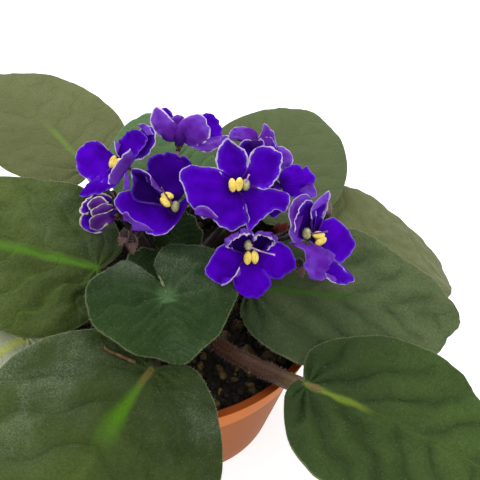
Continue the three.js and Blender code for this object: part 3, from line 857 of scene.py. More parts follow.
class Finish(Enum):
    """The plant's other finishes."""

    EARTH = SpeckledFinish(tint(8, 7, 5), tint(22, 17, 10), 330, (0.75, 0.95), 0.0006, 900)
    CRUMB = SpeckledFinish(tint(13, 10, 7), tint(34, 25, 15), 260, (0.7, 0.95), 0.0004, 1200)
    FLAKE = SpeckledFinish(tint(84, 66, 32), tint(44, 34, 18), 420, (0.45, 0.75), 0.0004, 1400)
    ANTHER = SpeckledFinish(tint(230, 204, 104), tint(206, 176, 74), 420, (0.45, 0.65), 0.00012, 2200)
    OVARY = SpeckledFinish(tint(186, 182, 132), tint(146, 138, 100), 700, (0.5, 0.7), 0.00012, 2000)
    PALE_STYLE = SpeckledFinish(tint(186, 156, 190), tint(150, 110, 160), 500, (0.4, 0.6), 0.0001, 2000)
    STYLE = SpeckledFinish(tint(62, 22, 66), tint(112, 70, 110), 500, (0.4, 0.6), 0.0001, 2000)
    DRIED = SpeckledFinish(tint(118, 92, 58), tint(84, 62, 40), 500, (0.6, 0.85), 0.0003, 1100)
    RUSTY = SpeckledFinish(tint(88, 16, 10), tint(62, 12, 8), 300, (0.6, 0.85), 0.0003, 1000)
    DOWN = SpeckledFinish(tint(158, 166, 138), tint(128, 138, 108), 300, (0.4, 0.55), 0.00001, 2000)
    RED_DOWN = SpeckledFinish(tint(172, 150, 142), tint(128, 100, 98), 300, (0.4, 0.55), 0.00001, 2000)
    CROWN = SpeckledFinish(tint(96, 78, 54), tint(62, 48, 36), 260, (0.6, 0.85), 0.0006, 700)
    FLOOR = SpeckledFinish(tint(214, 219, 224), tint(210, 215, 220), 12, (0.6, 0.7), 0.00002, 300, 0.66)


class Paints:
    """Hands out each finish once."""

    made: dict[str, Material] = {}

    @classmethod
    def of(cls, finish: Enum) -> Material:
        """Gives the material of a named finish, and makes it at its first use.

        Args:
            finish: A member of one of the sets of finishes.

        Returns:
            The material.
        """
        name = finish.name.lower()
        if name not in cls.made:
            cls.made[name] = finish.value.make(name)
        return cls.made[name]


# Geometry node trees


class NodeTool(Graph):
    """A Geometry Nodes tree with named inputs, which is applied to a piece and removed again."""

    def __init__(self, name: str) -> None:
        """Starts a tree with a geometry input and output.

        Args:
            name: Name of the tree.
        """
        super().__init__(bpy.data.node_groups.new(name, "GeometryNodeTree"))
        for way in ("INPUT", "OUTPUT"):
            self.tree.interface.new_socket("Geometry", in_out=way, socket_type="NodeSocketGeometry")
        self.keys: dict[str, str] = {}
        self.source = self.node("NodeGroupInput")
        self.piece = self.source.outputs["Geometry"]
        self.result = self.node("NodeGroupOutput")

    def ask(self, **values: float | None) -> list[Socket]:
        """Adds named inputs: whole numbers, numbers, and a material for each None.

        Args:
            values: Value at rest of each input.

        Returns:
            The sockets to link from.
        """
        kinds = {int: "Int", float: "Float", type(None): "Material"}
        for name, value in values.items():
            kind = f"NodeSocket{kinds[type(value)]}"
            socket = self.tree.interface.new_socket(name, in_out="INPUT", socket_type=kind)
            if value is not None:
                socket.default_value = value
            self.keys[name] = socket.identifier
        return [self.source.outputs[name] for name in values]

    def geo(self, kind: str, **named: object) -> Socket:
        """Adds a geometry node and gives its first output."""
        return self.node(f"GeometryNode{kind}", **named).outputs[0]

    def random(self, low: object, high: object, seed: object) -> Socket:
        """A random number for each point, or three of them where the limits are threes.

        Args:
            low: Least value.
            high: Most value.
            seed: Seed of the draw.

        Returns:
            The socket of the draw.
        """
        three = isinstance(low, tuple)
        first = 0 if three else 2
        kind = "FLOAT_VECTOR" if three else "FLOAT"
        made = self.node("FunctionNodeRandomValue", {first: low, first + 1: high, 8: seed}, data_type=kind)
        return made.outputs[0 if three else 1]

    def rotation(self, x: object = 0.0, y: object = 0.0, z: object = 0.0) -> Socket:
        """A turn by three angles in radians."""
        angles = self.node("ShaderNodeCombineXYZ", X=x, Y=y, Z=z).outputs[0]
        return self.node("FunctionNodeEulerToRotation", {0: angles}).outputs[0]

    def spread(self, density: object, weight: str, seed: object) -> bpy.types.Node:
        """Strews points over the piece.

        Args:
            density: Points to a square millimetre.
            weight: Name of the mesh's number that this is multiplied by.
            seed: Seed of the draw.

        Returns:
            The node.
        """
        share = self.geo("InputNamedAttribute", Name=weight, data_type="FLOAT")
        per_area = self.times(self.times(density, 1e6), share)
        return self.node(
            "GeometryNodeDistributePointsOnFaces",
            Mesh=self.piece,
            Density=per_area,
            Seed=seed,
            distribute_method="RANDOM",
        )

    def finish(self, added: Socket, keep: bool) -> "NodeTool":
        """Ends the tree: real geometry, its material, and the piece itself beside it.

        Args:
            added: What the tree makes.
            keep: Whether the piece that came in stays.

        Returns:
            The finished tree.
        """
        real = self.geo("RealizeInstances", Geometry=added)
        whole = self.geo("SetMaterial", Geometry=real, Material=self.ask(Material=None)[0])
        if keep:
            join = self.node("GeometryNodeJoinGeometry")
            self.put(join.inputs[0], whole)
            self.put(join.inputs[0], self.piece)
            whole = join.outputs[0]
        self.put(self.result.inputs[0], whole)
        return self

    def apply(self, piece: Piece, **values: object) -> None:
        """Runs the tree on a piece and leaves a plain mesh.

        Args:
            piece: The piece.
            values: The tree's inputs.
        """
        modifier = piece.modifiers.new(self.tree.name, "NODES")
        modifier.node_group = self.tree
        for name, value in values.items():
            modifier[self.keys[name]] = value
        settle(piece)


class Trees:
    """The Geometry Nodes trees that the plant's repeated details come from."""

    made: dict[str, NodeTool] = {}

    @classmethod
    def get(cls, name: str) -> NodeTool:
        """Gives a tree by name, and builds it at its first use.

        Args:
            name: Name of the method that builds it.

        Returns:
            The tree.
        """
        if name not in cls.made:
            cls.made[name] = getattr(cls, name)()
        return cls.made[name]

    @staticmethod
    def down() -> NodeTool:
        """Short hairs, as many as the number "fuzz" asks for at each place.

        Returns:
            The tree.
        """
        t = NodeTool("down")
        density, length, width, lean, seed = t.ask(Density=0.5, Length=1.0, Width=0.05, Lean=0.6, Seed=1)
        points = t.spread(density, "fuzz", seed)
        foot = t.times(width, 0.6 * MM)
        hair = t.geo("MeshCone", Vertices=3, Radius_Top=0.0, Radius_Bottom=foot, Depth=t.times(length, MM))
        back = t.times(lean, -1.0)
        tilt = t.rotation(t.random(back, lean, seed), t.random(0.0, lean, 7), t.random(0.0, 6.283, 11))
        turned = t.node(
            "FunctionNodeRotateRotation",
            Rotation=points.outputs["Rotation"],
            Rotate_By=tilt,
            rotation_space="LOCAL",
        ).outputs[0]
        size = t.random(0.55, 1.25, 5)
        feet = points.outputs["Points"]
        hairs = t.geo("InstanceOnPoints", Points=feet, Instance=hair, Rotation=turned, Scale=size)
        return t.finish(hairs, keep=True)

    @staticmethod
    def crumbs(keep: bool = True) -> NodeTool:
        """Irregular lumps strewn over the parts of a piece where "strew" is above zero.

        Args:
            keep: Whether the piece that they lie on stays.

        Returns:
            The tree.
        """
        t = NodeTool("crumbs" if keep else "flakes")
        density, size, flat, rough, seed = t.ask(Density=0.2, Size=1.0, Flat=0.7, Rough=0.5, Seed=1)
        points = t.spread(density, "strew", seed).outputs[0]
        lump = t.geo("MeshIcoSphere", Radius=t.times(size, MM), Subdivisions=2)
        squash = t.node("ShaderNodeCombineXYZ", X=1.0, Y=0.85, Z=flat).outputs[0]
        lump = t.geo("Transform", Geometry=lump, Scale=squash)
        tumble = t.random((0.0, 0.0, 0.0), (6.28, 6.28, 6.28), seed)
        scale = t.random(0.45, 1.2, 3)
        placed = t.geo("InstanceOnPoints", Points=points, Instance=lump, Rotation=tumble, Scale=scale)
        real = t.geo("RealizeInstances", Geometry=placed)
        noise = t.node("ShaderNodeTexNoise", Vector=t.geo("InputPosition"), Scale=700.0, Detail=1.0)
        middle = (0.5, 0.5, 0.5)
        centred = t.node("ShaderNodeVectorMath", {0: noise.outputs["Color"], 1: middle}, operation="SUBTRACT")
        amount = t.times(t.times(size, rough), 2 * MM)
        shift = t.node("ShaderNodeVectorMath", {0: centred.outputs[0]}, Scale=amount, operation="SCALE")
        return t.finish(t.geo("SetPosition", Geometry=real, Offset=shift.outputs[0]), keep)

    @classmethod
    def flakes(cls) -> NodeTool:
        """The same lumps without the piece that they lie on."""
        return cls.crumbs(keep=False)

    @staticmethod
    def ring() -> NodeTool:
        """Turns copies of a piece round the Z axis.

        Returns:
            The tree.
        """
        t = NodeTool("ring")
        count, start = t.ask(Count=5, Start=0.0)
        points = t.geo("Points", Count=count)
        angle = t.plus(t.times(t.geo("InputIndex"), t.sum("DIVIDE", 2 * math.pi, count)), start)
        turned = t.rotation(z=angle)
        copies = t.geo("InstanceOnPoints", Points=points, Instance=t.piece, Rotation=turned)
        return t.finish(copies, keep=False)

    @staticmethod
    def drill() -> NodeTool:
        """Cuts a ring of round holes through a floor.

        Returns:
            The tree.
        """
        t = NodeTool("drill")
        count, circle, radius = t.ask(Count=8, Circle=25.0, Radius=3.2)
        ring = t.geo("MeshCircle", Vertices=count, Radius=t.times(circle, MM))
        half_step = t.rotation(z=t.sum("DIVIDE", math.pi, count))
        turned = t.geo("Transform", Geometry=ring, Rotation=half_step)
        bit = t.geo("MeshCylinder", Vertices=28, Radius=t.times(radius, MM), Depth=20 * MM)
        bits = t.geo("RealizeInstances", Geometry=t.geo("InstanceOnPoints", Points=turned, Instance=bit))
        cut = t.geo("MeshBoolean", Mesh_1=t.piece, Mesh_2=bits, operation="DIFFERENCE", solver="EXACT")
        return t.finish(cut, keep=False)


@dataclass(frozen=True)
class Hairs:
    """The down on a piece.

    Attributes:
        density: Hairs to a square millimetre where the number "fuzz" is 1.
        length: Length of a hair.
        width: Its width at the foot.
        lean: How far hairs lean over, in radians.
        finish: Their finish.
    """

    density: float
    length: float
    width: float
    lean: float
    finish: Finish = Finish.RED_DOWN

    def grow(self, piece: Piece, seed: int) -> None:
        """Grows the hairs on a piece.

        Args:
            piece: The piece.
            seed: Seed of their places.
        """
        skin = Paints.of(self.finish)
        piece.data.materials.append(skin)
        sizes = {"Density": self.density, "Length": self.length, "Width": self.width, "Lean": self.lean}
        Trees.get("down").apply(piece, **sizes, Seed=seed, Material=skin)


LEAF_DOWN = Hairs(density=0.5, length=0.9, width=0.028, lean=0.9, finish=Finish.DOWN)
PETIOLE_DOWN = Hairs(density=1.6, length=0.9, width=0.035, lean=0.5)
OVARY_DOWN = Hairs(density=6.0, length=0.4, width=0.04, lean=0.4, finish=Finish.DOWN)
STALK_DOWN = Hairs(density=2.2, length=0.9, width=0.06, lean=0.45)
CROWN_DOWN = Hairs(density=1.5, length=1.0, width=0.06, lean=0.5)


# Leaves

VEIN_COUNT = 7
VEIN_FAN = 34 * DEG
STEM_POINTS = 26
BLADE_THICKNESS = 0.9
EDGE_THINNING = 0.35


@dataclass(frozen=True)
class Petiole:
    """The leaf's stalk.

    Attributes:
        angle: Where round the crown it starts.
        height: Height of its start.
        reach: Distance of its start from the crown's middle.
        radius: Radius under the blade.
        root_radius: Radius at the crown.
        launch: How steeply it leaves the crown.
        lead: How far it goes on that way, as a share of its length.
        ease: How far before the blade it already has the blade's heading.
        finish: Its skin.
        sink: How deep its end lies under the blade's middle, as a share of its radius.
    """

    angle: float
    height: float
    reach: float = 6.5
    radius: float = 2.6
    root_radius: float = 1.7
    launch: float = 35.0
    lead: float = 0.45
    ease: float = 0.35
    finish: StemFinish = StemFinish(tint(32, 24, 17), tint(66, 70, 36), 0.7)
    sink: float = 1.25


@dataclass(frozen=True)
class Leaf:
    """A heart-shaped leaf: its blade, with sunken veins, and its hairy petiole.

    Attributes:
        name: Name of its solid.
        joint: Where the petiole meets the blade.
        azimuth: Heading of the midrib seen from above.
        pitch: Slope of the midrib at the joint and at the tip.
        length: Length from joint to tip.
        half_width: Half of the blade's width.
        lobe: How far the lobes reach behind the joint.
        petiole: Its stalk.
        tone: Its green.
        roll: Tilt about the midrib.
        egg: How far the widest place lies towards the petiole.
        notch: Half the angle that the notch between the lobes takes.
        point: How far the tip is drawn out.
        painted_light: How much painted light pales the blade towards its tip, its left side, and all over.
        haze: Spots of painted sheen on the down: share of its length and half width, size, strength.
        scallop: Depth of the edge's broad scallops.
        ripple: Height of the edge's waves.
        cup: How far the sides rise.
        sweep: Sideways bend of the tip.
        lean: How much further back its right half starts than its left half.
        curl: How far its left half and its right half bulge over the notch.
        rake: How far the side veins run forward for each millimetre out, on its left and its right half.
        quilt: Depth of the side veins.
        columns: Number of samples round the blade.
        rings: Number of samples from joint to edge.
    """

    name: str
    joint: Point
    azimuth: float
    pitch: tuple[float, float]
    length: float
    half_width: float
    lobe: float
    petiole: Petiole
    tone: LeafTone = LeafTone.MOSS
    roll: float = 0.0
    egg: float = 0.18
    notch: float = 0.3
    point: float = 1.5
    painted_light: tuple[float, float, float] = (0.3, 0.0, 0.0)
    haze: tuple[tuple[float, float, float, float], ...] = ()
    scallop: float = 0.35
    ripple: float = 1.2
    cup: float = 0.0
    sweep: float = 0.0
    lean: float = 0.0
    curl: tuple[float, float] = (0.0, 0.0)
    rake: tuple[float, float] = (0.62, 0.62)
    quilt: float = 0.5
    columns: int = 132
    rings: int = 30

    def edge(self, phi: Array) -> tuple[Array, Array]:
        """The blade's outline.

        Args:
            phi: Angles from the tip (0) to the notch (pi).

        Returns:
            Distances along and across the midrib.
        """
        middle = (self.length - self.lobe) / 2
        reach = (self.length + self.lobe) / 2
        from_notch = math.pi - np.abs(phi)
        pull = self.lobe * 0.9 * np.maximum(0, 1 - from_notch / self.notch) ** 1.5
        tip = self.point * np.exp(-((phi / 0.28) ** 2))
        calm = np.minimum(1, from_notch / 0.5)
        teeth = np.cos(9 * phi) + 0.2 * np.cos(37 * phi + 2 * np.sin(5 * phi))
        wave = 1 + (self.scallop / self.half_width) * teeth * calm
        uneven = self.lean * np.sin(phi) * (1 - np.cos(phi)) / 2
        x = (middle + reach * np.cos(phi)) * wave + pull + tip + uneven
        y = self.half_width * np.sin(phi) * (1 - self.egg * np.cos(phi)) * wave
        bulge = smooth(0.0, 0.14, from_notch) * smooth(0.8, 0.28, from_notch)
        y = y - bulge * np.where(phi > 0, self.curl[0], -self.curl[1])
        return x, y

    def veins(self, s: Array, y: Array) -> tuple[Array, Array]:
        """Where a place lies among the side veins.

        Args:
            s: Distance along the midrib.
            y: Distance across it.

        Returns:
            A count that is whole on each vein, and the millimetres that one count takes there.
        """
        off = np.abs(y)
        s = s + 1.6 * self.waves(53, 15.0, s, y) * smooth(3.0, 15.0, np.hypot(s, y))
        rake = np.where(y > 0, *self.rake)
        slant = rake + 0.0055 * off
        start = s - slant * off
        step = self.length * np.hypot(1, rake) / VEIN_COUNT
        fan = np.arctan2(off, s + 1e-9) - np.arctan2(1.0, slant)
        count = np.where(start >= 0, start / step, -fan / VEIN_FAN)
        gap = np.where(start >= 0, step / np.hypot(1, slant), np.hypot(s, y) * VEIN_FAN)
        return count, gap

    def waves(self, seed: int, wavelength: float, s: Array, y: Array) -> Array:
        """The value of a random field of this leaf's own, at places on its blade."""
        return Waves(seed + len(self.name), wavelength).at(np.stack([s, y, 0 * s], -1))

    def at(self, u: Array, phi: Array, quilted: bool = False) -> Array:
        """Places on the blade's middle surface.

        Args:
            u: Share of the way from the joint to the edge.
            phi: Angle round the blade.
            quilted: Whether the veins' valleys are pressed in.

        Returns:
            The places.
        """
        edge_x, edge_y = self.edge(phi)
        s = u * edge_x
        y = u * edge_y
        across = np.abs(y) / self.half_width
        steady = np.minimum(1, (math.pi - np.abs(phi)) / 0.6)
        height = self.cup * across**2 + self.ripple * u**3 * np.sin(5 * phi) * steady
        if quilted:
            height = height + self.valleys(s, y, u)
        turn = (self.pitch[1] - self.pitch[0]) * DEG / self.length
        slope = self.pitch[0] * DEG + turn * s
        x = (np.sin(slope) - math.sin(self.pitch[0] * DEG)) / turn
        z = (math.cos(self.pitch[0] * DEG) - np.cos(slope)) / turn
        bent = self.sweep * (s / self.length) * np.abs(s / self.length)
        points = np.stack([x - height * np.sin(slope), y + bent, z + height * np.cos(slope)], -1)
        return turn_about(turn_about(points, "X", self.roll), "Z", self.azimuth) + np.array(self.joint)

    def valleys(self, s: Array, y: Array, u: Array) -> Array:
        """Height that the veins take away and the puffed skin between them adds.

        Args:
            s: Distance along the midrib.
            y: Distance across it.
            u: Share of the way from the joint to the edge.

        Returns:
            The height.
        """
        count, gap = self.veins(s, y)
        away = np.abs(count - np.round(count)) * gap
        fade = smooth(1.0, 0.55, u) * smooth(0.0, 4.0, np.abs(y))
        side = (0.5 * np.exp(-((away / 1.5) ** 2)) + 0.5 + 0.5 * np.cos(2 * math.pi * count)) * fade
        rib = np.exp(-((y / 2.0) ** 2)) * smooth(-4.0, 3.0, s) * np.clip(1 - s / self.length, 0, 1)
        puff = 0.28 * self.waves(31, 9.0, s, y) * smooth(0.0, 0.2, u)
        dimples = 0.09 * self.waves(57, 3.4, s, y)
        sunken = self.quilt * side * (self.length / 80) + 0.9 * rib * (self.petiole.radius / 2.6)
        return (puff + dimples) * min(1.0, 2 * self.quilt) - sunken

    def angles(self) -> Array:
        """Spaces the samples round the blade, closer together in the notch.

        Returns:
            Their angles.
        """
        broad = np.linspace(0, math.pi - self.notch, self.columns // 2)
        tight = np.linspace(math.pi - self.notch, math.pi, 9)[1:-1]
        half = np.concatenate([broad, tight])
        return np.concatenate([-half[:0:-1], half, [math.pi]])

    def blade(self) -> Surface:
        """The blade as a thin closed body.

        Returns:
            The surface, whose numbers the leaf's finish reads.
        """
        phi = self.angles()
        u = 1 - (1 - np.linspace(0, 1, self.rings + 1)[1:]) ** 1.15
        grid_u, grid_phi = np.meshgrid(u, phi, indexing="ij")
        columns = len(phi)
        points = self.at(grid_u, grid_phi, quilted=True).reshape(-1, 3)
        hub = self.at(np.array([0.0]), np.array([0.0]), quilted=True)
        edge_x, edge_y = self.edge(grid_phi)
        s = np.append((grid_u * edge_x).ravel(), 0)
        y = np.append((grid_u * edge_y).ravel(), 0)
        count, gap = self.veins(s, y)
        faces = grid_faces(self.rings, columns, wrap=True)
        centre = len(points)
        faces += [(centre, j, (j + 1) % columns) for j in range(columns)]
        faces = [tuple(reversed(f)) for f in faces[: -columns]] + faces[-columns:]
        reach = np.append(np.hypot(edge_x, edge_y).ravel(), self.length)
        share = np.append(grid_u.ravel(), 0)
        rim = (1 - share) * np.maximum(reach, 0.6 * self.half_width)
        along = s / self.length
        side = y / self.half_width
        numbers = {
            "vein_phase": count + 8,
            "vein_gap": gap,
            "across": np.hypot(np.minimum(s, 0), y),
            "along": along,
            "rim": rim,
            # Painted shade, and the down's painted sheen, which the finish reads.
            "dusk": self.dusk(along, side),
            "haze": self.sheen(along, side),
            "fuzz": 1 + 9 * smooth(1.2, 0.0, rim),
        }
        sheet = Surface(np.concatenate([points, hub]), faces, numbers)
        if sheet.normals()[centre, 2] < 0:
            sheet.faces = [tuple(reversed(f)) for f in sheet.faces]
        rim_line = [(self.rings - 1) * columns + j for j in range(columns)]
        return outward(shell(sheet, rim_line, BLADE_THICKNESS - EDGE_THINNING * smooth(3.0, 0.0, rim)))

    def dusk(self, along: Array, side: Array) -> Array:
        """How dark the painted shade on the blade is at each place, from 0 to 1."""
        ahead, left, whole = self.painted_light
        return np.clip(0.5 - whole - ahead * (2 * along - 0.8) * 0.6 - left * side * 0.6, 0, 1)

    def sheen(self, along: Array, side: Array) -> Array:
        """How much painted sheen the down has where it catches the light.

        Args:
            along: Share of the blade's length, at each place.
            side: Share of its half width.

        Returns:
            That amount, from 0 to 1.
        """
        total = 0.05 + 0 * along
        for at_along, at_side, size, strength in self.haze:
            away = (along - at_along) ** 2 + (0.5 * (side - at_side)) ** 2
            total = total + strength * np.exp(-away / size**2)
        return np.clip(total, 0, 1)

    def stem_line(self) -> tuple[Array, Array]:
        """Follows the petiole, and the raised midrib that it goes on as.

        Returns:
            Their middle line and radii.
        """
        stalk = self.petiole
        start = toward(stalk.angle) * stalk.reach + stalk.height * UP
        heading = toward(self.azimuth, self.pitch[0])
        joint = self.at(np.array([0.0]), np.array([0.0]))[0]
        ahead = self.at(np.array([0.5]), np.array([0.0]))[0]
        beside = self.at(np.array([0.5]), np.array([0.05]))[0]
        below = unit(np.cross(ahead - joint, beside - ahead))
        arrive = joint + 0.1 * (ahead - joint) - below * stalk.radius * stalk.sink
        distance = float(np.linalg.norm(arrive - start))
        rise = toward(stalk.angle, stalk.launch)
        leaving = start + rise * distance * stalk.lead
        stem = bezier([start, leaving, arrive - heading * distance * stalk.ease, arrive], STEM_POINTS)
        share = np.linspace(0, 1, STEM_POINTS)
        thick = stalk.root_radius + (stalk.radius - stalk.root_radius) * np.minimum(1, share * 1.8)
        reach = np.linspace(0.1, 0.86, 18)
        thin = 0.3 + (stalk.radius * 0.92 - 0.3) * (1 - (reach - 0.05)) ** 1.6
        over = self.at(reach, np.zeros(18), quilted=True)
        rib = over - below * (thin + 0.1)[:, None]
        return np.concatenate([stem, rib]), np.concatenate([thick, thin])

    def stem(self) -> Surface:
        """The petiole as a closed body.

        Returns:
            The surface, whose numbers the petiole's finish reads.
        """
        path, radii = self.stem_line()
        body = tube(path, radii, 14)
        uneven = Waves(5 + len(self.name), 7.0).at(body.points)[:, None]
        body.points = body.points + 0.04 * self.petiole.radius * uneven * body.normals()
        along = body.numbers["along"] * len(path) / STEM_POINTS
        body.numbers["along"] = np.minimum(1, along)
        body.numbers["fuzz"] = np.where(along < 1, 1.0, 0.3)
        return body

    def build(self) -> None:
        """Makes the blade and the petiole, gives them their down and lets them ride."""
        seed = sum(map(ord, self.name))
        green = self.tone.value.make(f"green_{self.name}")
        blade = to_object(f"{self.name}_blade", self.blade(), green)
        LEAF_DOWN.grow(blade, seed)
        enrol(blade, "leaf_green", self.name)
        skin = self.petiole.finish.make(f"petiole_{self.name}")
        stem = to_object(f"{self.name}_petiole", self.stem(), skin)
        PETIOLE_DOWN.grow(stem, seed + 1)
        enrol(stem, "leaf_green", self.name)


BROWN_STEM = StemFinish(tint(56, 33, 18), tint(98, 86, 48), 0.72)
RED_STEM = StemFinish(tint(96, 36, 18), tint(108, 52, 28), 0.5)

# Each leaf's painted light and painted sheen spots stand for how the light falls on it.
LEAVES = (
    Leaf(
        "leaf_back_left", (-35, 43, 98), 129, (3, -10), 82, 29, 7, Petiole(128, 76, radius=2), LeafTone.OLIVE,
        8, 0.1, painted_light=(0.2, -0.4, 0.05), scallop=0.08, ripple=0.4, quilt=0.25,
    ),
    Leaf(
        "leaf_left", (-27, -3.5, 95), 174, (20, -6), 82, 32.2, 9, Petiole(170, 80), LeafTone.BRIGHT, -3, 0.3,
        sweep=-2, painted_light=(1.1, 0.1, 0.1), haze=((-0.05, -0.9, 0.3, 0.9), (0.2, -0.45, 0.14, 0.4)), quilt=0.7,
    ),
    Leaf(
        "leaf_front_small", (0, -24, 106), 288, (-15, -52), 21, 26, 22, Petiole(262, 87, radius=1.8),
        LeafTone.DEEP, -6, 0.2, 0.36, 2, (0.5, -0.3, 0.1),
        ((-0.8, -0.3, 0.2, 0.7), (-0.6, 0.3, 0.3, 0.8), (0.9, 0.2, 0.2, 0.4), (0.0, 0.8, 0.25, 0.6)),
        quilt=0.9, lean=-5, curl=(5.5, 0.0),
    ),
    Leaf(
        "leaf_front_left", (-5, -44, 93), 241, (-1, -18), 92, 41, 10, Petiole(238, 78), LeafTone.DUSKY, -13,
        0.05, painted_light=(1.2, -0.3, 0.05), quilt=0.7,
        haze=(
            (0.42, -0.9, 0.22, 1.1), (0.12, -0.6, 0.2, 0.6), (0.2, -0.85, 0.14, 0.4), (0.05, 0.55, 0.13, 0.7),
            (0.25, 0.8, 0.1, 0.2),
        ),
    ),
    Leaf(
        "leaf_left_low", (-50, -26, 85), 214, (-2, -40), 62, 26, 7,
        Petiole(206, 78, launch=20, finish=RED_STEM), LeafTone.ASHEN, haze=((0.1, 0.0, 0.8, 0.6),),
    ),
    Leaf(
        "leaf_front_right", (46, -47.2, 89), -24, (0, -28), 76.6, 29.5, 6.9,
        Petiole(-74, 76, radius=2.9, lead=0.4, launch=25, finish=BROWN_STEM, sink=0.92), LeafTone.SHADY, 1,
        notch=0.36, cup=0.5, painted_light=(0.8, 0.1, 0.1), quilt=1.1, lean=2.5, curl=(0.0, 5.5),
        rake=(1.4, 0.8),
    ),
    Leaf(
        "leaf_right", (28, -10, 91), -3, (2, -24), 77, 28, 5, Petiole(-14, 80), LeafTone.MOSS, 9, 0.22,
        sweep=-1.5, painted_light=(0.8, 0.2, 0.1), quilt=1.0, rake=(1.3, 1.1),
    ),
    Leaf(
        "leaf_right_back", (60, 17, 85), 20, (-18, -48), 62, 32, 6, Petiole(18, 78, launch=25),
        LeafTone.OLIVE, sweep=-2, painted_light=(0.6, 0.4, 0.25), scallop=0.1, ripple=0.5, quilt=0.3,
    ),
    Leaf(
        "leaf_back", (30, 34, 91), 64, (5, -13), 60, 28, 10, Petiole(54, 79), LeafTone.SAGE, 8,
        scallop=0.06, ripple=0.3, painted_light=(0.6, 0.0, 0.0), quilt=0.25,
    ),
    Leaf(
        "leaf_back_small", (-4, 30, 98), 101, (12, -8), 44, 21, 8, Petiole(95, 84, radius=2),
        LeafTone.FRESH, 4, scallop=0.1, ripple=0.4, quilt=0.3,
    ),
    Leaf(
        "leaf_inner_back", (1, 5, 94), 80, (55, 35), 15, 9, 2.5,
        Petiole(90, 87, 0.5, 1.3, 1.1, 80), LeafTone.DEEP, ripple=0.3, notch=0.4, columns=48, rings=10,
        quilt=0.2, painted_light=(0.2, 0.0, -0.5),
    ),
    Leaf(
        "leaf_inner_front", (-3, -5, 93), 190, (36, 16), 15, 11, 3,
        Petiole(220, 87, 3, 1.2, 1.1, 70), LeafTone.DEEP, ripple=0.3, notch=0.5, columns=48, rings=10,
        quilt=0.2, painted_light=(0.2, 0.0, -0.3),
    ),
)


# Flowers


EDGE_THICKNESS = 0.28
PETAL_THICKENING = 0.25
OVAL = (
    (0.28, 0.4, 0), (0.5, 0.85, 0), (0.76, 1, 0), (0.96, 0.62, 0), (1.02, 0.1, 0), (0.97, -0.5, 0),
    (0.78, -1, 0), (0.52, -0.86, 0), (0.3, -0.42, 0),
)


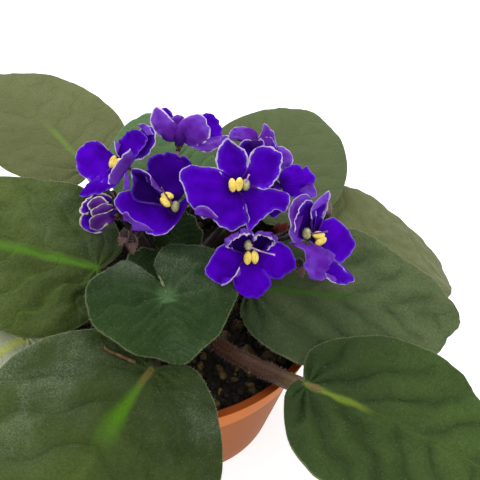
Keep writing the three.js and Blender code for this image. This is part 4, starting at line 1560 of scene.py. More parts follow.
@dataclass(frozen=True)
class Petal:
    """One petal, drawn by its edge as it is seen from the flower's front.

    Attributes:
        tips: Places along the edge, from one side of the claw round to the other. Each gives right
            and up from the middle of the throat, and may give its height and how far the rim rolls
            over there, in degrees towards the front, and how clear its pale edge is there.
        belly: How far the middle stands proud, or is dished if negative.
        hinge: Where the rolled strip starts, as a share of the way from claw to edge.
        dusk: How dark the painted shade on the petal is.
        flipped: Whether the petal turns its back to the front.
        frill: Height of the crimped edge.
        twirl: Height of the slow waves across the petal.
        pale: How clear its pale edge is, 0 to 1, and past that how much wider, up to 2.
        claw: Where it starts, if not in the throat: right, up, out and half of its width there.
    """

    tips: tuple[tuple[float, ...], ...]
    belly: float = 0.8
    hinge: float = 0.62
    dusk: float = 0.0
    flipped: bool = False
    frill: float = 0.32
    twirl: float = 0.4
    pale: float = 0.5
    claw: tuple[float, ...] = ()

    @classmethod
    def oval(cls, angle: float, length: float, half_width: float, pitch: float, **rest: object) -> "Petal":
        """A petal of the usual rounded shape.

        Args:
            angle: Where it points, counted from the right.
            length: Length from the throat.
            half_width: Half of its width.
            pitch: How steeply it rises.
            rest: Any other field of the petal.

        Returns:
            The petal.
        """
        tips = np.array(OVAL) * np.array([length, half_width, 0])
        tips[:, 2] = tips[:, 0] * math.tan(pitch * DEG)
        placed = turn_about(tips, "Z", angle)
        return cls(tuple(map(tuple, placed.tolist())), **rest)

    def surface(self, seed: int, rows: int = 24, columns: int = 45) -> Surface:
        """The petal as a thin closed body round the flower's own axes.

        Args:
            seed: Seed of its crimps and waves.
            rows: Number of points from claw to edge.
            columns: Number of points along the edge.

        Returns:
            The surface, whose numbers the petal's finish reads.
        """
        knots = [np.array([*tip, *(0.0, 0.0, self.pale)[len(tip) - 2 :]]) for tip in self.tips]
        line = through(knots, columns)
        edge = line[:, :3]
        roll = line[:, 3] * DEG
        across = np.linspace(1, -1, columns)
        start = np.array(self.claw[:3] or (0.0, 0.0, -0.25))
        middle = unit((edge.mean(0) - start) * np.array([1, 1, 0]))
        side = np.array([-middle[1], middle[0], 0.0])
        way = math.copysign(1.0, float((edge[0] - edge[-1]) @ side))
        if not self.claw:
            start = start + 1.5 * middle
        claw = start + (self.claw[3] if self.claw else 0.9) * way * across[:, None] * side
        spoke = edge - claw
        length = np.linalg.norm(spoke, axis=1)
        ahead = spoke / length[:, None]
        along_edge = unit(np.gradient(edge, axis=0))
        front = unit(np.cross(along_edge, ahead))
        front = front * np.where(front[:, 2:] < 0, -1, 1)
        ragged = Waves(seed, 1.7).at(edge) * 0.13 + Waves(seed + 1, 4.2).at(edge) * 0.16
        length = length + ragged * smooth(4.0, 8.0, length)
        v = 1 - (1 - np.linspace(0, 1, rows)) ** 1.25
        bend = roll[None] * smooth(self.hinge, self.hinge + 0.14, v)[:, None]
        step = np.diff(v, prepend=0.0)[:, None] * length[None]
        forward = np.cumsum(step * np.cos(bend), 0)[..., None]
        lifted = np.cumsum(step * np.sin(bend), 0)[..., None]
        points = claw + forward * ahead + lifted * front
        flat = claw + v[:, None, None] * spoke[None]
        rim = np.linalg.norm(flat[:, :, None] - edge[None, None], axis=-1).min(-1)
        reach = np.linalg.norm(flat[..., :2], axis=-1)
        rim = rim + (0 if self.claw else 4) * smooth(7.0, 4.0, reach)
        arch = 4 * v * (1 - v)
        height = self.belly * arch[:, None] * (1 - across**2)[None]
        height = height + self.frill * Waves(seed + 2, 2.5).at(flat) * smooth(3.2, 0.0, rim)
        height = height + self.twirl * Waves(seed + 3, 9.0).at(flat) * smooth(3.0, 9.0, reach)
        points = points + height[..., None] * UP
        count = rows * columns
        loop = list(range(columns)) + [i * columns + columns - 1 for i in range(1, rows)]
        loop += [count - 1 - j for j in range(1, columns)] + [i * columns for i in range(rows - 2, 0, -1)]
        numbers = {
            "reach": (reach / 15).ravel(),
            "rim": rim.ravel(),
            "strip": np.tile(1 + across, rows),
            "dusk": np.full(count, self.dusk),
            "pale": np.tile(line[:, 4], rows),
        }
        sheet = Surface(points.reshape(-1, 3), grid_faces(rows, columns), numbers)
        if (sheet.normals() @ (UP - 0.3 * middle)).mean() < 0:
            sheet.faces = [tuple(reversed(face)) for face in sheet.faces]
            loop.reverse()
        thickness = EDGE_THICKNESS + PETAL_THICKENING * smooth(0.0, 3.0, rim.ravel())
        body = shell(sheet, loop, thickness)
        if self.flipped:
            body.numbers["under"] = 1 - body.numbers["under"]
        return body


FRONT_VIEW = (-90, 50)
ANTHER_RADII = (1.34, 2.35, 1.25)
FILAMENT_RADIUS = 0.4
OVARY_RADII = (1.35, 1.9, 1.9)
BUD_STALK_RADIUS = 0.7
SEPAL_THICKNESS = 0.4
TUBE = [(0, -3.4), (1.4, -3.4), (1.9, -1.2), (2.3, 0.1), (1.9, 0.25), (1.5, -0.3), (1.1, -0.8), (0, -0.9)]
CUP = [(0, -6.4), (0.9, -6.2), (1.45, -5.4), (1.75, -4.6), (1.6, -3.7), (0, -3.6)]


@dataclass(frozen=True)
class Flower:
    """A violet flower: tube, five petals, ovary with its style, and a pair of anthers.

    Attributes:
        name: Name that its solids start with.
        throat: Middle of the throat.
        facing: Azimuth and elevation of the direction that it faces.
        petals: Its petals.
        spin: Turn about that direction.
        side_on: Whether its petals are drawn as seen from the front of the pot instead.
        closed: Whether it is still half shut.
        pale_style: Whether its style is whitish instead of dark.
        anthers_at: Middle of the anthers, right and up from the throat, and out if they stand elsewhere.
        anthers_turn: Turn of the pair about the flower's axis.
        splay: How far the two anthers lean apart.
        ovary_at: Middle of the ovary, right and up.
        style_to: Tip of the style: right, up and out.
        calyx_width: Width of its calyx as a share of the usual one.
    """

    name: str
    throat: Point
    facing: tuple[float, float]
    petals: tuple[Petal, ...]
    spin: float = 0.0
    side_on: bool = False
    closed: bool = False
    pale_style: bool = False
    anthers_at: tuple[float, ...] = (0.0, 0.0)
    anthers_turn: float = 0.0
    splay: float = 3.0
    ovary_at: tuple[float, float] = (2.6, 0.2)
    style_to: Point = (4.0, 3.5, 4.0)
    calyx_width: float = 1.0

    def axes(self, facing: tuple[float, float] | None = None) -> Array:
        """Gives the directions that places on the flower are counted in.

        Args:
            facing: Azimuth and elevation of the view, if not from the flower's own front.

        Returns:
            Rows of unit vectors: right, up and out of the flower's face.
        """
        out = toward(*(facing or self.facing))
        up = unit(UP - out * out[2])
        right = np.cross(up, out)
        cosine = math.cos(self.spin * DEG)
        sine = math.sin(self.spin * DEG)
        return np.stack([right * cosine + up * sine, up * cosine - right * sine, out])

    def place(self, local: Array) -> Array:
        """Turns places given as right, up and out into places in the frame."""
        return np.asarray(local, float) @ self.axes() + np.array(self.throat)

    def corolla(self) -> Surface:
        """Tube and petals together.

        Returns:
            The surface, in place.
        """
        whole = lathe(TUBE, 20)
        # The tube gets painted shade.
        paints = {"rim": 6.0, "under": 0.35, "dusk": 0.6, "pale": 0.2}
        whole.numbers = {name: np.full(len(whole.points), value) for name, value in paints.items()}
        whole.points = self.place(whole.points)
        for index, petal in enumerate(self.petals):
            columns = 31 if petal.claw else 29 + 2 * len(petal.tips)
            body = petal.surface(100 * int(self.name[-1]) + 10 * index, 12 if petal.claw else 24, columns)
            axes = self.axes(FRONT_VIEW if self.side_on else None)
            body.points = body.points @ axes + np.array(self.throat)
            whole = whole.joined(body)
        return whole

    def stamens(self) -> Surface:
        """Two anthers, each of two fused sacs, on their short filaments.

        Returns:
            The surface, in place.
        """
        whole = None
        for side in (-1, 1):
            anther = ball(ANTHER_RADII, 22, 25)
            x, y, z = anther.points.T
            groove = np.exp(-(((x + 0.1 * side * y) / 0.3) ** 2)) * smooth(-0.2, 0.6, z)
            waist = np.exp(-((y / 0.7) ** 2))
            scale = [1.06 - 0.1 * waist, 1 + 0 * x, 1 - 0.22 * groove - 0.1 * waist]
            anther.points = anther.points * np.stack(scale, -1)
            anther.points[:, 1] -= 0.25 * x**2 * np.sign(y)
            anther.points = turn_about(anther.points, "Z", -side * self.splay)
            anther.points = anther.points + np.array([side * 1.12, 0.15 * side, 0.0])
            path = np.array([[side * 0.6, 0, -3.6], [side * 0.9, 0, -1.8], [side * 1.1, 0, 0]])
            anther = anther.joined(tube(path, np.full(3, FILAMENT_RADIUS), 8))
            whole = anther if whole is None else whole.joined(anther)
        whole.points = turn_about(whole.points, "Z", self.anthers_turn)
        whole.points = self.place(whole.points + np.array([*self.anthers_at, 3.2][:3]))
        return whole

    def pistil(self) -> tuple[Surface, Surface]:
        """The pale ovary, and the thin style that stands out of it.

        Returns:
            Both surfaces, in place.
        """
        base = np.array([*self.ovary_at, 1.0])
        ovary = ball(OVARY_RADII, 12, 18)
        ovary.points = self.place(ovary.points + base)
        ovary.numbers["fuzz"] = np.ones(len(ovary.points))
        tip = np.array(self.style_to)
        start = base + 1.3 * UP
        path = through([start, (start + tip) / 2 + 0.8 * UP, tip], 14)
        radii = np.linspace(0.36, 0.2, 14)
        radii[-2:] = (0.3, 0.38)
        return ovary, tube(self.place(path), radii, 8)

    def build(self, petals: Material, style_finish: Material) -> None:
        """Makes and dresses the flower.

        Args:
            petals: Finish of the petals.
            style_finish: Finish of the style.
        """
        corolla = to_object(f"{self.name}_petals", self.corolla(), petals)
        enrol(corolla, "petal_violet", f"{self.name}_corolla")
        if self.closed:
            return
        stamens = to_object(f"{self.name}_stamens", self.stamens(), Paints.of(Finish.ANTHER))
        enrol(stamens, "anther_yellow", f"{self.name}_anthers")
        ovary, style = self.pistil()
        piece = to_object(f"{self.name}_ovary", ovary, Paints.of(Finish.OVARY))
        OVARY_DOWN.grow(piece, seed=3)
        enrol(piece, "petal_violet", f"{self.name}_corolla")
        piece = to_object(f"{self.name}_style", style, style_finish)
        enrol(piece, "petal_violet", f"{self.name}_corolla")


LIP = {"flipped": True, "twirl": 0, "frill": 0.1}

# A petal's painted shade darkens the petals that lie in shade.
FLOWERS = (
    Flower("flower_1", (23.5, 6.5, 127), (-98, 52), spin=6, anthers_at=(-0.6, -0.2), ovary_at=(2.5, 0),
        style_to=(3.7, 3.2, 2.4), pale_style=True, splay=6, petals=(
        Petal(((-3, 3.4), (-7, 5.6), (-11.2, 6.2), (-16.2, 6.8), (-19.2, 5.2), (-20.2, 3), (-18.3, -0.9),
          (-17.6, -4.3), (-16.2, -6.7), (-13.9, -9.3), (-11.8, -11), (-9.4, -10.7), (-7.5, -12.6),
          (-5.4, -14.3), (-2.5, -15.1), (0.5, -14.4), (2.8, -13.3), (3.9, -11.6), (3.4, -9.9), (1.8, -4)),
          -0.8, dusk=0.1, pale=0.8),
        Petal(((5.6, -1.4), (10.5, -1.2), (14.2, -1.9), (16.9, -3.2), (17.3, -4.9), (16.2, -8.2),
          (14.9, -9.1), (12.9, -8.2), (10.5, -9.6), (7.8, -11.6), (5.8, -13.3), (3.6, -15.2), (2.2, -11.4),
          (1.6, -5)), -0.7, dusk=0.08, pale=0.6),
        Petal(((-4.8, 2.4, 0.3), (-7.2, 5.7, 0.8), (-7.5, 8.6, 0.9), (-6.8, 11.9, 0.8), (-5.8, 13.9, 0.5),
          (-4.2, 15.4, 0.3), (-2.5, 14.9, 0.4), (-0.8, 13.7, 0.6), (1.2, 12.8, 0.9), (2.5, 10.8, 1.1),
          (3.3, 8.4, 1.1), (2.6, 5.2, 0.5)), -1.9, dusk=0.1, pale=0.95),
        Petal(((2.8, 4.4, 0.3), (3.4, 6.8, 0.7), (3.8, 9.2, 0.8), (4.7, 11.2, 0.8), (6.6, 12.5, 0.8),
          (9, 12.9, 0.8), (11.4, 12.2, 0.8), (13.5, 10.8, 0.9), (14.5, 9, 1), (14.3, 5.6, 1), (12.9, 2.2, 1),
          (10.9, -0.4, 1), (8.2, -1.6, 1), (5, 0, 0.4)), -1.9, pale=0.95),
        Petal(((-14.6, -8.2, 1.4), (-13.2, -7.2, 1.8), (-10.8, -7.2, 1.8), (-9, -8.4, 1.6),
          (-6.6, -10.8, 1.2)), 0.4, claw=(-11, -10.6, 0.6, 3.6), pale=0.5, **LIP),
    )),
    Flower("flower_2", (1, 7, 115), (-118, 56), spin=21, anthers_at=(-1.6, 2.6), anthers_turn=66, splay=-16,
        ovary_at=(1, 0.4), style_to=(-3.2, 6.4, 4.6), petals=(
        Petal(((-2, 4.2), (-8.4, 7.8, 1), (-9.9, 11.6, 1.6), (-9.5, 14.8, 2), (-8.4, 17.4, 2.2),
          (-5.9, 18.5, 2), (-3.8, 18.8, 2), (-1.3, 19.5, 2), (1.6, 18.2, 1.5), (5.2, 16.8, 1),
          (6, 15.2, 0.8), (5, 11.6, 0.5), (4.5, 6.4)), -0.8, dusk=0.6, frill=0.6, twirl=0.8, pale=0.1),
        Petal(((4.5, 3.8), (5.9, 2.4, 0.6), (4.6, -0.6, 1.4), (3.1, -3.8, 1.8), (1.3, -6.6, 1.8),
          (-1.3, -8.9, 1.6), (-3.8, -9.7, 1.4), (-7, -9.5, 1.4), (-9.9, -8, 1.4), (-12.7, -6.6, 1.4),
          (-15.6, -5.2, 1.4), (-17.8, -3.2, 1.6), (-19.5, -1.3, 1.8), (-20.7, 0.8, 2), (-20.6, 3.6, 2.2),
          (-19.2, 5.6, 2), (-16.3, 6.2, 1.6), (-13.4, 6.9, 1.2), (-5, 3)), -2, dusk=0.12, pale=0.7),
        Petal(((-2, 1.2, 0.6, 0, 0), (-6, 1.4, 1.8, 0, 0), (-11, 1.6, 2.6, 0, 0), (-14.6, 3.2, 3, 0, 0),
          (-14.8, 6.6, 3.2, 0, 0.2), (-14.7, 9.9, 3.6), (-15.2, 12.4, 4), (-13.1, 13.1, 4.4),
          (-9.9, 12.3, 4.4), (-7.7, 10.6, 4.2), (-7.2, 7.4, 3.4, 0, 0.2), (-3, 4.6, 1, 0, 0)), -1, dusk=1,
          pale=0.75),
        Petal(((-17.2, 11.4, 4.6), (-17.3, 8.2, 4), (-17.8, 6, 3.4)), 0.2, claw=(-15.4, 9.1, 4.6, 3),
          pale=0.4, **LIP),
        Petal(((-17.6, -2.6, 3), (-15.8, -1.8, 3.2), (-14.4, -3.6, 3), (-12, -5.4, 2.6)), 0.3, flipped=True,
          frill=0.2, twirl=0, claw=(-15, -5, 1.8, 2.4), pale=0.3),
        Petal(((-14.2, -4.4, 2.6), (-11, -5.4, 2.8), (-8.2, -6.6, 2.6), (-6.2, -8.4, 2)), 0.3,
          claw=(-10, -8.2, 1.6, 4), pale=0.15, dusk=0.4, **LIP),
    )),
    Flower("flower_3", (-19.5, 24, 120), (221, 49), spin=36, anthers_at=(1.3, -0.6, 2.8), anthers_turn=-28,
        splay=10, ovary_at=(2.8, -2.8), style_to=(4, -3, 1.5), petals=(
        Petal(((3, 0.6, -0.6), (9, 1, -1.6), (11, 2, -1.8), (13, 4.4, -1.8), (14.7, 7.3, -1.8),
          (14.6, 9.8, -1.8), (13, 12, -1.8), (10.5, 13.4, -1.8), (8, 12.8, -1.6), (4, 4, -0.6)), -0.5,
          dusk=0.6, pale=1),
        Petal(((-4, -4.2), (-10.4, -6.3, -0.5), (-13.7, -7.8, -0.8), (-17.8, -10, -1), (-16.9, -11.2, -1),
          (-13.7, -11.8, -0.8), (-10.4, -11.5, -0.5), (-5.9, -10.7), (-2.2, -9.7), (0.4, -8.4), (1.5, -3.6)),
          0.6, pale=0.35),
        Petal(((-1.4, 2.2), (-4.2, 4.8, 0.2), (-7.2, 7.4, 0.4), (-10.8, 8.7, 0.5), (-13.8, 9, 0.5),
          (-16.9, 8, 0.4), (-18.8, 5.4, 0.2), (-19.2, 1.9), (-17.8, -1.9, 0.1), (-15, -4.4, 0.3),
          (-11.4, -6, 0.5), (-8.3, -7.4, 0.6), (-5.5, -7, 0.6), (-3, -4.6, 0.4)), -1.2, pale=0.6),
        Petal(((-0.6, 2), (-0.1, 4.7, 0.3), (0.7, 7.6, 0.6), (2.7, 9.9, 0.8), (5.6, 11.3, 0.8),
          (8.5, 11.2, 0.7), (10.9, 10.1, 0.6), (12.4, 8, 0.6), (11.6, 5.4, 0.6), (9.6, 2.8, 0.5),
          (7.9, 1.2, 0.4), (3.4, 0.6)), -0.9, pale=0.1),
        Petal(((8, 13.4, 0), (10.6, 13.6, 0.2), (13.2, 11.8, 0.2), (14.6, 9.6, 0)), 0.3, flipped=True,
          twirl=0, claw=(10.4, 11, 0.2, 2.6), pale=0.5),
        Petal(((-1.8, 8, 1), (-1.1, 5.6, 1), (0.3, 3, 1), (1.4, 1.9, 1)), 0.1, claw=(0.5, 4.4, 0.5, 2.4),
          pale=0.7, **LIP),
        Petal(((9.4, 3.4, 5), (7, 1.6, 5.2), (4.4, -0.7, 5.2), (2.2, -3.4, 5), (0.7, -6.1, 4.8),
          (0.2, -8, 4.4), (0.4, -8.4, 3)), 0.9, flipped=True, dusk=0.7, pale=1.4, twirl=0.2,
          claw=(5.2, -3.4, 1.2, 5.6)),
    )),
    Flower("flower_4", (-22, 10.4, 109), (186, 24), side_on=True, closed=True, petals=(
        Petal(((0.4, 5.4, -2), (-2.2, 6.9, -2.4), (-4.8, 7, -2.6), (-7.4, 6, -2.6), (-9.4, 4.6, -2.4),
          (-10.8, 2.6, -2), (-11.1, 0.6, -1.4), (-9.8, -0.8, -0.6), (-8, -0.4, 0)), -0.8, dusk=0.55,
          frill=0.5, pale=1, claw=(-1.4, 0.4, -2, 2.5)),
        Petal(((-8, 0, 0), (-9.9, -0.8, -0.6), (-10.9, -2.8, -1), (-10.4, -4.8, -1.2), (-8.6, -6.4, -1.4),
          (-6, -7.4, -1.6), (-3.6, -7.2, -1.6)), -0.8, frill=0.5, pale=0.9, claw=(-2, -1.8, -2, 2.5)),
        Petal(((-1, 3.6, 0.6), (-2.4, 5.3, 0.8), (-4, 5.6, 1), (-6, 4.8, 1.4), (-7.4, 3.6, 1.7),
          (-7.8, 2, 1.9), (-6.8, 0.7, 2)), 1.4, flipped=True, frill=0.12, twirl=0.1, pale=0.9,
          claw=(-0.8, 2.2, 0.6, 1.5)),
        Petal(((1.2, 2.6, 1), (-2, 3, 2), (-4.4, 1.8, 2.4), (-6.4, 0.4, 2.6), (-6.2, -1.2, 2.6),
          (-4.6, -2, 2.4)), 1.4, flipped=True, frill=0.12, twirl=0.1, dusk=0.35, pale=0.9,
          claw=(0.8, 0.4, 0.6, 1.6)),
        Petal(((1.3, 1.2, 1.6), (-1, -0.2, 2.8), (-3.6, -0.8, 3.3), (-5.8, -1.8, 3.4), (-7, -3.2, 3.2),
          (-6.6, -4.9, 2.8), (-5, -6.4, 2.2), (-3.2, -6.2, 1.6), (-1, -4.2, 1)), 1.6, flipped=True,
          frill=0.12, twirl=0.1, dusk=0.3, pale=0.95, claw=(0.8, -1.6, 0.4, 1.8)),
    )),
    Flower("flower_5", (2.5, 34, 123), (82, 18), side_on=True, anthers_at=(0, -3.2, 3), ovary_at=(1.2, -3),
        style_to=(1.5, -3, 4), calyx_width=0.55, petals=(
        Petal(((-5, 8, -4), (-7.6, 11, -5), (-5.6, 11.6, -5.4), (-3.6, 10.1, -5.4), (-2.8, 7.8, -5),
          (-1.2, 5.6, -4)), -0.4, claw=(-2.6, 3, -3.4, 1.5), pale=0.4),
        Petal(((-3.4, 7.6, -5), (-2.2, 8.8, -5), (-0.6, 9, -5), (1.6, 7.2, -4.6), (0.8, 4.6, -4)), 0.4,
          flipped=True, claw=(-0.6, 3, -3, 1.5)),
        Petal(((6.4, 8.2, -3.6), (9.2, 9.5, -4), (11.2, 9, -4.2), (13.3, 7.2, -4.2), (14.8, 4.2, -4),
          (15, 1.2, -3.6), (13.6, -0.8, -3), (11, -1.6, -2)), -0.8, claw=(4, 0.6, -2.4, 2), pale=0.1),
        Petal(((1.4, -2.2, 0.2), (5, -3.8, 0.4), (8.2, -5.1, 0.4), (11.1, -4.9, 0), (14, -3.4, -0.6),
          (16.2, -1.4, -1.2), (17.7, 0.5, -1.8), (15.8, 1, -2), (13.4, -0.8, -1.6), (10, -2, -1)), 0.8,
          flipped=True, claw=(2, -1.6, -0.8, 0.8), pale=1),
        Petal(((-1.2, -1.4, -0.2), (-4.4, -1.3, 0), (-7.4, 0.3, 0), (-9.9, 2.8, -0.6), (-11, 6, -1.6),
          (-10.5, 9.3, -2.8), (-9.1, 11.7, -3.8), (-7.3, 11.1, -3.6), (-5.1, 8.9, -3), (-2.9, 6.4, -2.4),
          (-0.6, 3.8, -1.8), (0.8, 1.6, -1.2)), 2.2, flipped=True, dusk=0.5, pale=1.7, twirl=0.2),
        Petal(((-0.9, -1.4, 0.4), (-1.6, 0.8, 0.4), (-1.1, 3, 0.2), (-0.6, 4.9, -0.4), (1.4, 6.9, -0.8),
          (3.9, 8.3, -1.2), (6.8, 9, -1.6), (8.8, 7.8, -1.8), (10.1, 4.9, -1.6), (10.5, 1.6, -1.2),
          (9.6, -1.3, -0.8), (7.1, -2.7, -0.4), (3.9, -3.1, 0), (1.6, -2, 0)), 2.2, flipped=True, pale=1.4,
          twirl=0.2),
    )),
    Flower("flower_6", (27, -13.5, 115), (-88, 30), spin=-2, pale_style=True, anthers_at=(0.55, 0.1),
        splay=-4, ovary_at=(-0.3, 3.6), style_to=(8.2, 1.5, 4.4), petals=(
        Petal(((-2, 0.8), (-5.6, 3.2), (-7.9, 3.6), (-10.2, 2.3), (-12.5, -1.3), (-14.2, -4.8),
          (-13.6, -7.6), (-11.9, -10), (-9.2, -11.2), (-6.9, -10.4, 0.2), (-4.9, -7.9, 0.4),
          (-3.6, -5.1, 0.4), (-2.4, -2.6)), -0.9, pale=0.25),
        Petal(((2.2, 1.8), (4.3, 4), (6.9, 5), (9.9, 4.4), (12.5, 2.9), (14.6, 0.1), (15.6, -3.4),
          (14.8, -5.6), (12.8, -7.3), (10.5, -8.6), (8.2, -8.7), (6.2, -7.6), (4, -5.4), (2.4, -2.4)), -0.9,
          pale=0.1),
        Petal(((-1.6, -2.4, 0.3), (-4.6, -6.7, 0.6), (-5.3, -9.3, 0.7), (-4.3, -12, 0.7), (-2.3, -14.4, 0.6),
          (-0.3, -15.2, 0.6), (1.3, -14.7, 0.6), (3, -15.3, 0.6), (4.7, -14.1, 0.6), (6.6, -12, 0.6),
          (7.3, -9.9, 0.6), (6.8, -7.8, 0.6), (2.6, -2.6, 0.3)), 0.7, pale=0.05),
        Petal(((-2.2, 0.8, 0.8), (-8.4, 3.4, 2.8, 100), (-9.4, 6.2, 3.2, 150), (-7.4, 8.4, 3.4, 150),
          (-4.8, 10, 3.6, 150), (-2.6, 11.2, 3.8, 150), (0.2, 11, 3.8, 130), (1.6, 8, 3.2, 40),
          (0.6, 3, 1.2)), -1, hinge=0.8, dusk=0.9, frill=0.9, pale=1),
        Petal(((0.4, 3.2, 1.2), (0.8, 6.6, 3, 50), (1.8, 9.4, 3.6, 130), (4, 10.8, 3.8, 150),
          (7, 10.6, 3.8, 150), (9.4, 9, 3.6, 150), (10.4, 6.4, 3.4, 130), (7.8, 4.2, 2.8, 60),
          (2.8, 1.2, 0.8)), -1, hinge=0.8, dusk=0.9, frill=0.9, pale=1),
        Petal(((-9, -10.9, 1.1), (-6.5, -9.2, 1.9), (-4.3, -6.2, 1.9), (-3.2, -3.9, 1.3)), 0.2, pale=1,
          claw=(-5.7, -7.9, 0.6, 3.4), **LIP),
    )),
    Flower("flower_7", (49, -5, 114), (-58, 42), spin=-24, anthers_at=(0.7, -0.4, 2.6), anthers_turn=104,
        splay=14, ovary_at=(-3.4, 1), style_to=(2.8, 1.9, 4), petals=(
        Petal(((5, -6), (8, -7.9), (11.3, -10.8), (13.9, -12.8), (16.2, -14.2), (15.7, -15.8), (12.8, -16.3),
          (9.5, -16), (6.5, -15), (4, -12.9), (2, -7)), 0.6, dusk=0.2, pale=0.7),
        Petal(((1.6, 4.2), (5.8, 6.3), (8.7, 6), (11.3, 4.3), (13.5, 1.9), (15.7, -1.1), (15.8, -3.5),
          (13.9, -6.2), (10.2, -9.2), (7, -6.8), (3.4, -2.8)), -0.8, pale=0.35),
        Petal(((-4, -1.1, 0.6), (-7.4, -2.2, 0.4), (-9.3, -0.5, 0.4), (-9.7, 3.9, 0.4), (-10, 8.3, 0.4),
          (-8.6, 11.3, 0.4), (-6.3, 13.4, 0.4), (-3.7, 14.4, 0.6), (-2.2, 13, 1)), 0.4, flipped=True,
          dusk=0.6, pale=0.7, claw=(-5.6, 5.6, 1.8, 6)),
        Petal(((-2.6, -0.4), (-7, -0.6, 1.6), (-8.3, 2.2, 2.2), (-8.3, 6.3, 2.2), (-7.1, 9.6, 2.2),
          (-4.5, 12.1, 2.2), (-2.2, 11.4, 2), (-0.4, 9, 1.6), (-0.2, 4.6, 0.8)), -1.6, dusk=0.8, pale=0.9),
        Petal(((-1.2, 4, 0.8), (-2.8, 8, 2.4), (-2.2, 10.6, 2.8), (0.2, 13.1, 3), (3.2, 15.1, 3),
          (3.3, 12.3, 2.8), (3.2, 9, 2.4), (2.4, 5.6, 1.6), (1.6, 2.6, 0.6)), -1.4, dusk=0.3, pale=0.9),
        Petal(((-2.9, 8.2, 2.9), (-2.5, 10.8, 3.4), (-0.2, 13.2, 3.6), (3, 15.4, 3.4)), 0.3,
          claw=(0.4, 10.4, 3, 3.8), pale=0.4, **LIP),
        Petal(((4, -12.4, 0.8), (4.2, -13.6, 1), (6.6, -15.4, 1), (9.4, -16.2, 0.8)), 0.2,
          claw=(6.8, -13.2, 0.8, 3), pale=0.9, **LIP),
        Petal(((-7.1, -1.1, 2), (-9.3, -2.1, 1), (-6.4, -4.2, 3), (-6.2, -7.2, 5), (-6.4, -10, 6),
          (-5, -12.8, 6.4), (-1.6, -14.2, 6.4), (1.2, -13, 6.4), (2.9, -10.3, 6), (4.2, -7.6, 5.6),
          (4.2, -5, 5), (1.4, -4, 4.4), (-0.8, -2.4, 3.6), (-3.2, -1.2, 2.6)), 0.9, flipped=True, frill=0.9,
          twirl=1.6, pale=0.15, claw=(-3, -2.8, 3, 0.6)),
    )),
    Flower("flower_8", (37, 20, 113), (10, 58), side_on=True, anthers_at=(0, 5.5), ovary_at=(1, 5),
        style_to=(1, 5, 3), petals=(
        Petal.oval(118, 11, 5.6, -16, belly=-0.8, dusk=0.4),
        Petal.oval(190, 10, 5.6, -12, belly=-0.8, dusk=0.3),
        Petal.oval(-106, 11, 5.6, -10, dusk=0.3),
        Petal(((10.4, 0.8, -1.4), (12.2, 0.9, -1.4), (14.4, -1.8, -1.6), (14.7, -4, -1.8),
          (12.8, -4.8, -1.6), (9.4, -4.4, -1)), 0.6, flipped=True, claw=(6, -1, -0.8, 1.5), pale=0.5),
        Petal(((0.8, 2, -0.6), (2, 4.8, -1.2), (3.8, 6.5, -1.4), (6.3, 7.6, -1.6), (8.5, 7.2, -1.6),
          (9.7, 6.1, -1.6), (11.3, 6.9, -1.8), (12.9, 4.7, -1.8), (14, 2.4, -1.8), (13.1, 0.3, -1.4),
          (11.3, 0, -1), (10.4, -3, -0.8), (8.5, -4.5, -0.6), (5.6, -4.1, -0.2), (2.4, -2, 0)), 0.9,
          pale=0.3),
    )),
    Flower("flower_9", (30, 38, 117), (80, 30), side_on=True, anthers_at=(0, -4.2, 2.2),
        ovary_at=(1.2, -4.4), style_to=(1.5, -4.4, 3), calyx_width=0.5, petals=(
        Petal(((-0.4, 0.8, -2), (2.1, 4, -2.6), (2.8, 7.3, -3), (4.8, 6.2, -3), (6.6, 3.8, -2.8),
          (7.2, 0.6, -2.2), (8.4, -2, -1.6), (9.8, -4, -1), (5, -4.4, -0.6)), 0.6, flipped=True, pale=0.7,
          dusk=0.3, claw=(2.6, -2.6, -1, 1.6)),
        Petal(((-0.6, -0.4, -1), (1, 1.4, -1.4), (3, 2.1, -1.6), (5.4, 1.9, -1.6), (6.8, 0, -1.2),
          (7.8, -2.8, -0.6)), -0.5, dusk=0.35, pale=0.6, claw=(3, -3.4, -0.6, 3)),
        Petal(((0.8, -1.4, -0.6), (-3.1, 0.4, -0.6), (-5.6, 0.6, -1), (-9, 1.1, -1.4), (-10.5, 2, -1.6),
          (-9.3, 4.3, -2), (-7.5, 5.7, -2.4), (-4.9, 6.1, -2.6), (-2.3, 5.4, -2.4), (0, 3.9, -2),
          (0.6, 1.4, -1.4)), 1, flipped=True, pale=0.9),
        Petal(((8, -1.6, -1), (9.8, -1.5, -1.2), (11.7, -2.6, -1.4), (13.3, -4.7, -1.4), (13.6, -6.9, -1.2),
          (12.4, -8.9, -0.8), (10.4, -10.2, -0.4)), 1.2, flipped=True, pale=1, frill=0.5,
          claw=(8.4, -5.6, 0, 3.4)),
        Petal.oval(-100, 9, 5, 0, dusk=0.3),
        Petal(((-6.4, -1.4, 0.8), (-5.4, 0, 1), (-3.6, 0.9, 1), (-1.6, 0.5, 1), (-0.2, -0.8, 1),
          (1.4, 1.2, 0.8), (2.8, 0.2, 0.6), (3, -3, 0.4)), 0.4, dusk=0.35, pale=0.9,
          claw=(-1.4, -4.6, 0, 2.5)),
    )),
)


# Flower stalks


@dataclass(frozen=True)
class Bud:
    """A hairy bud still shut in its sepals."""

    at: Point
    size: float
    heading: Point


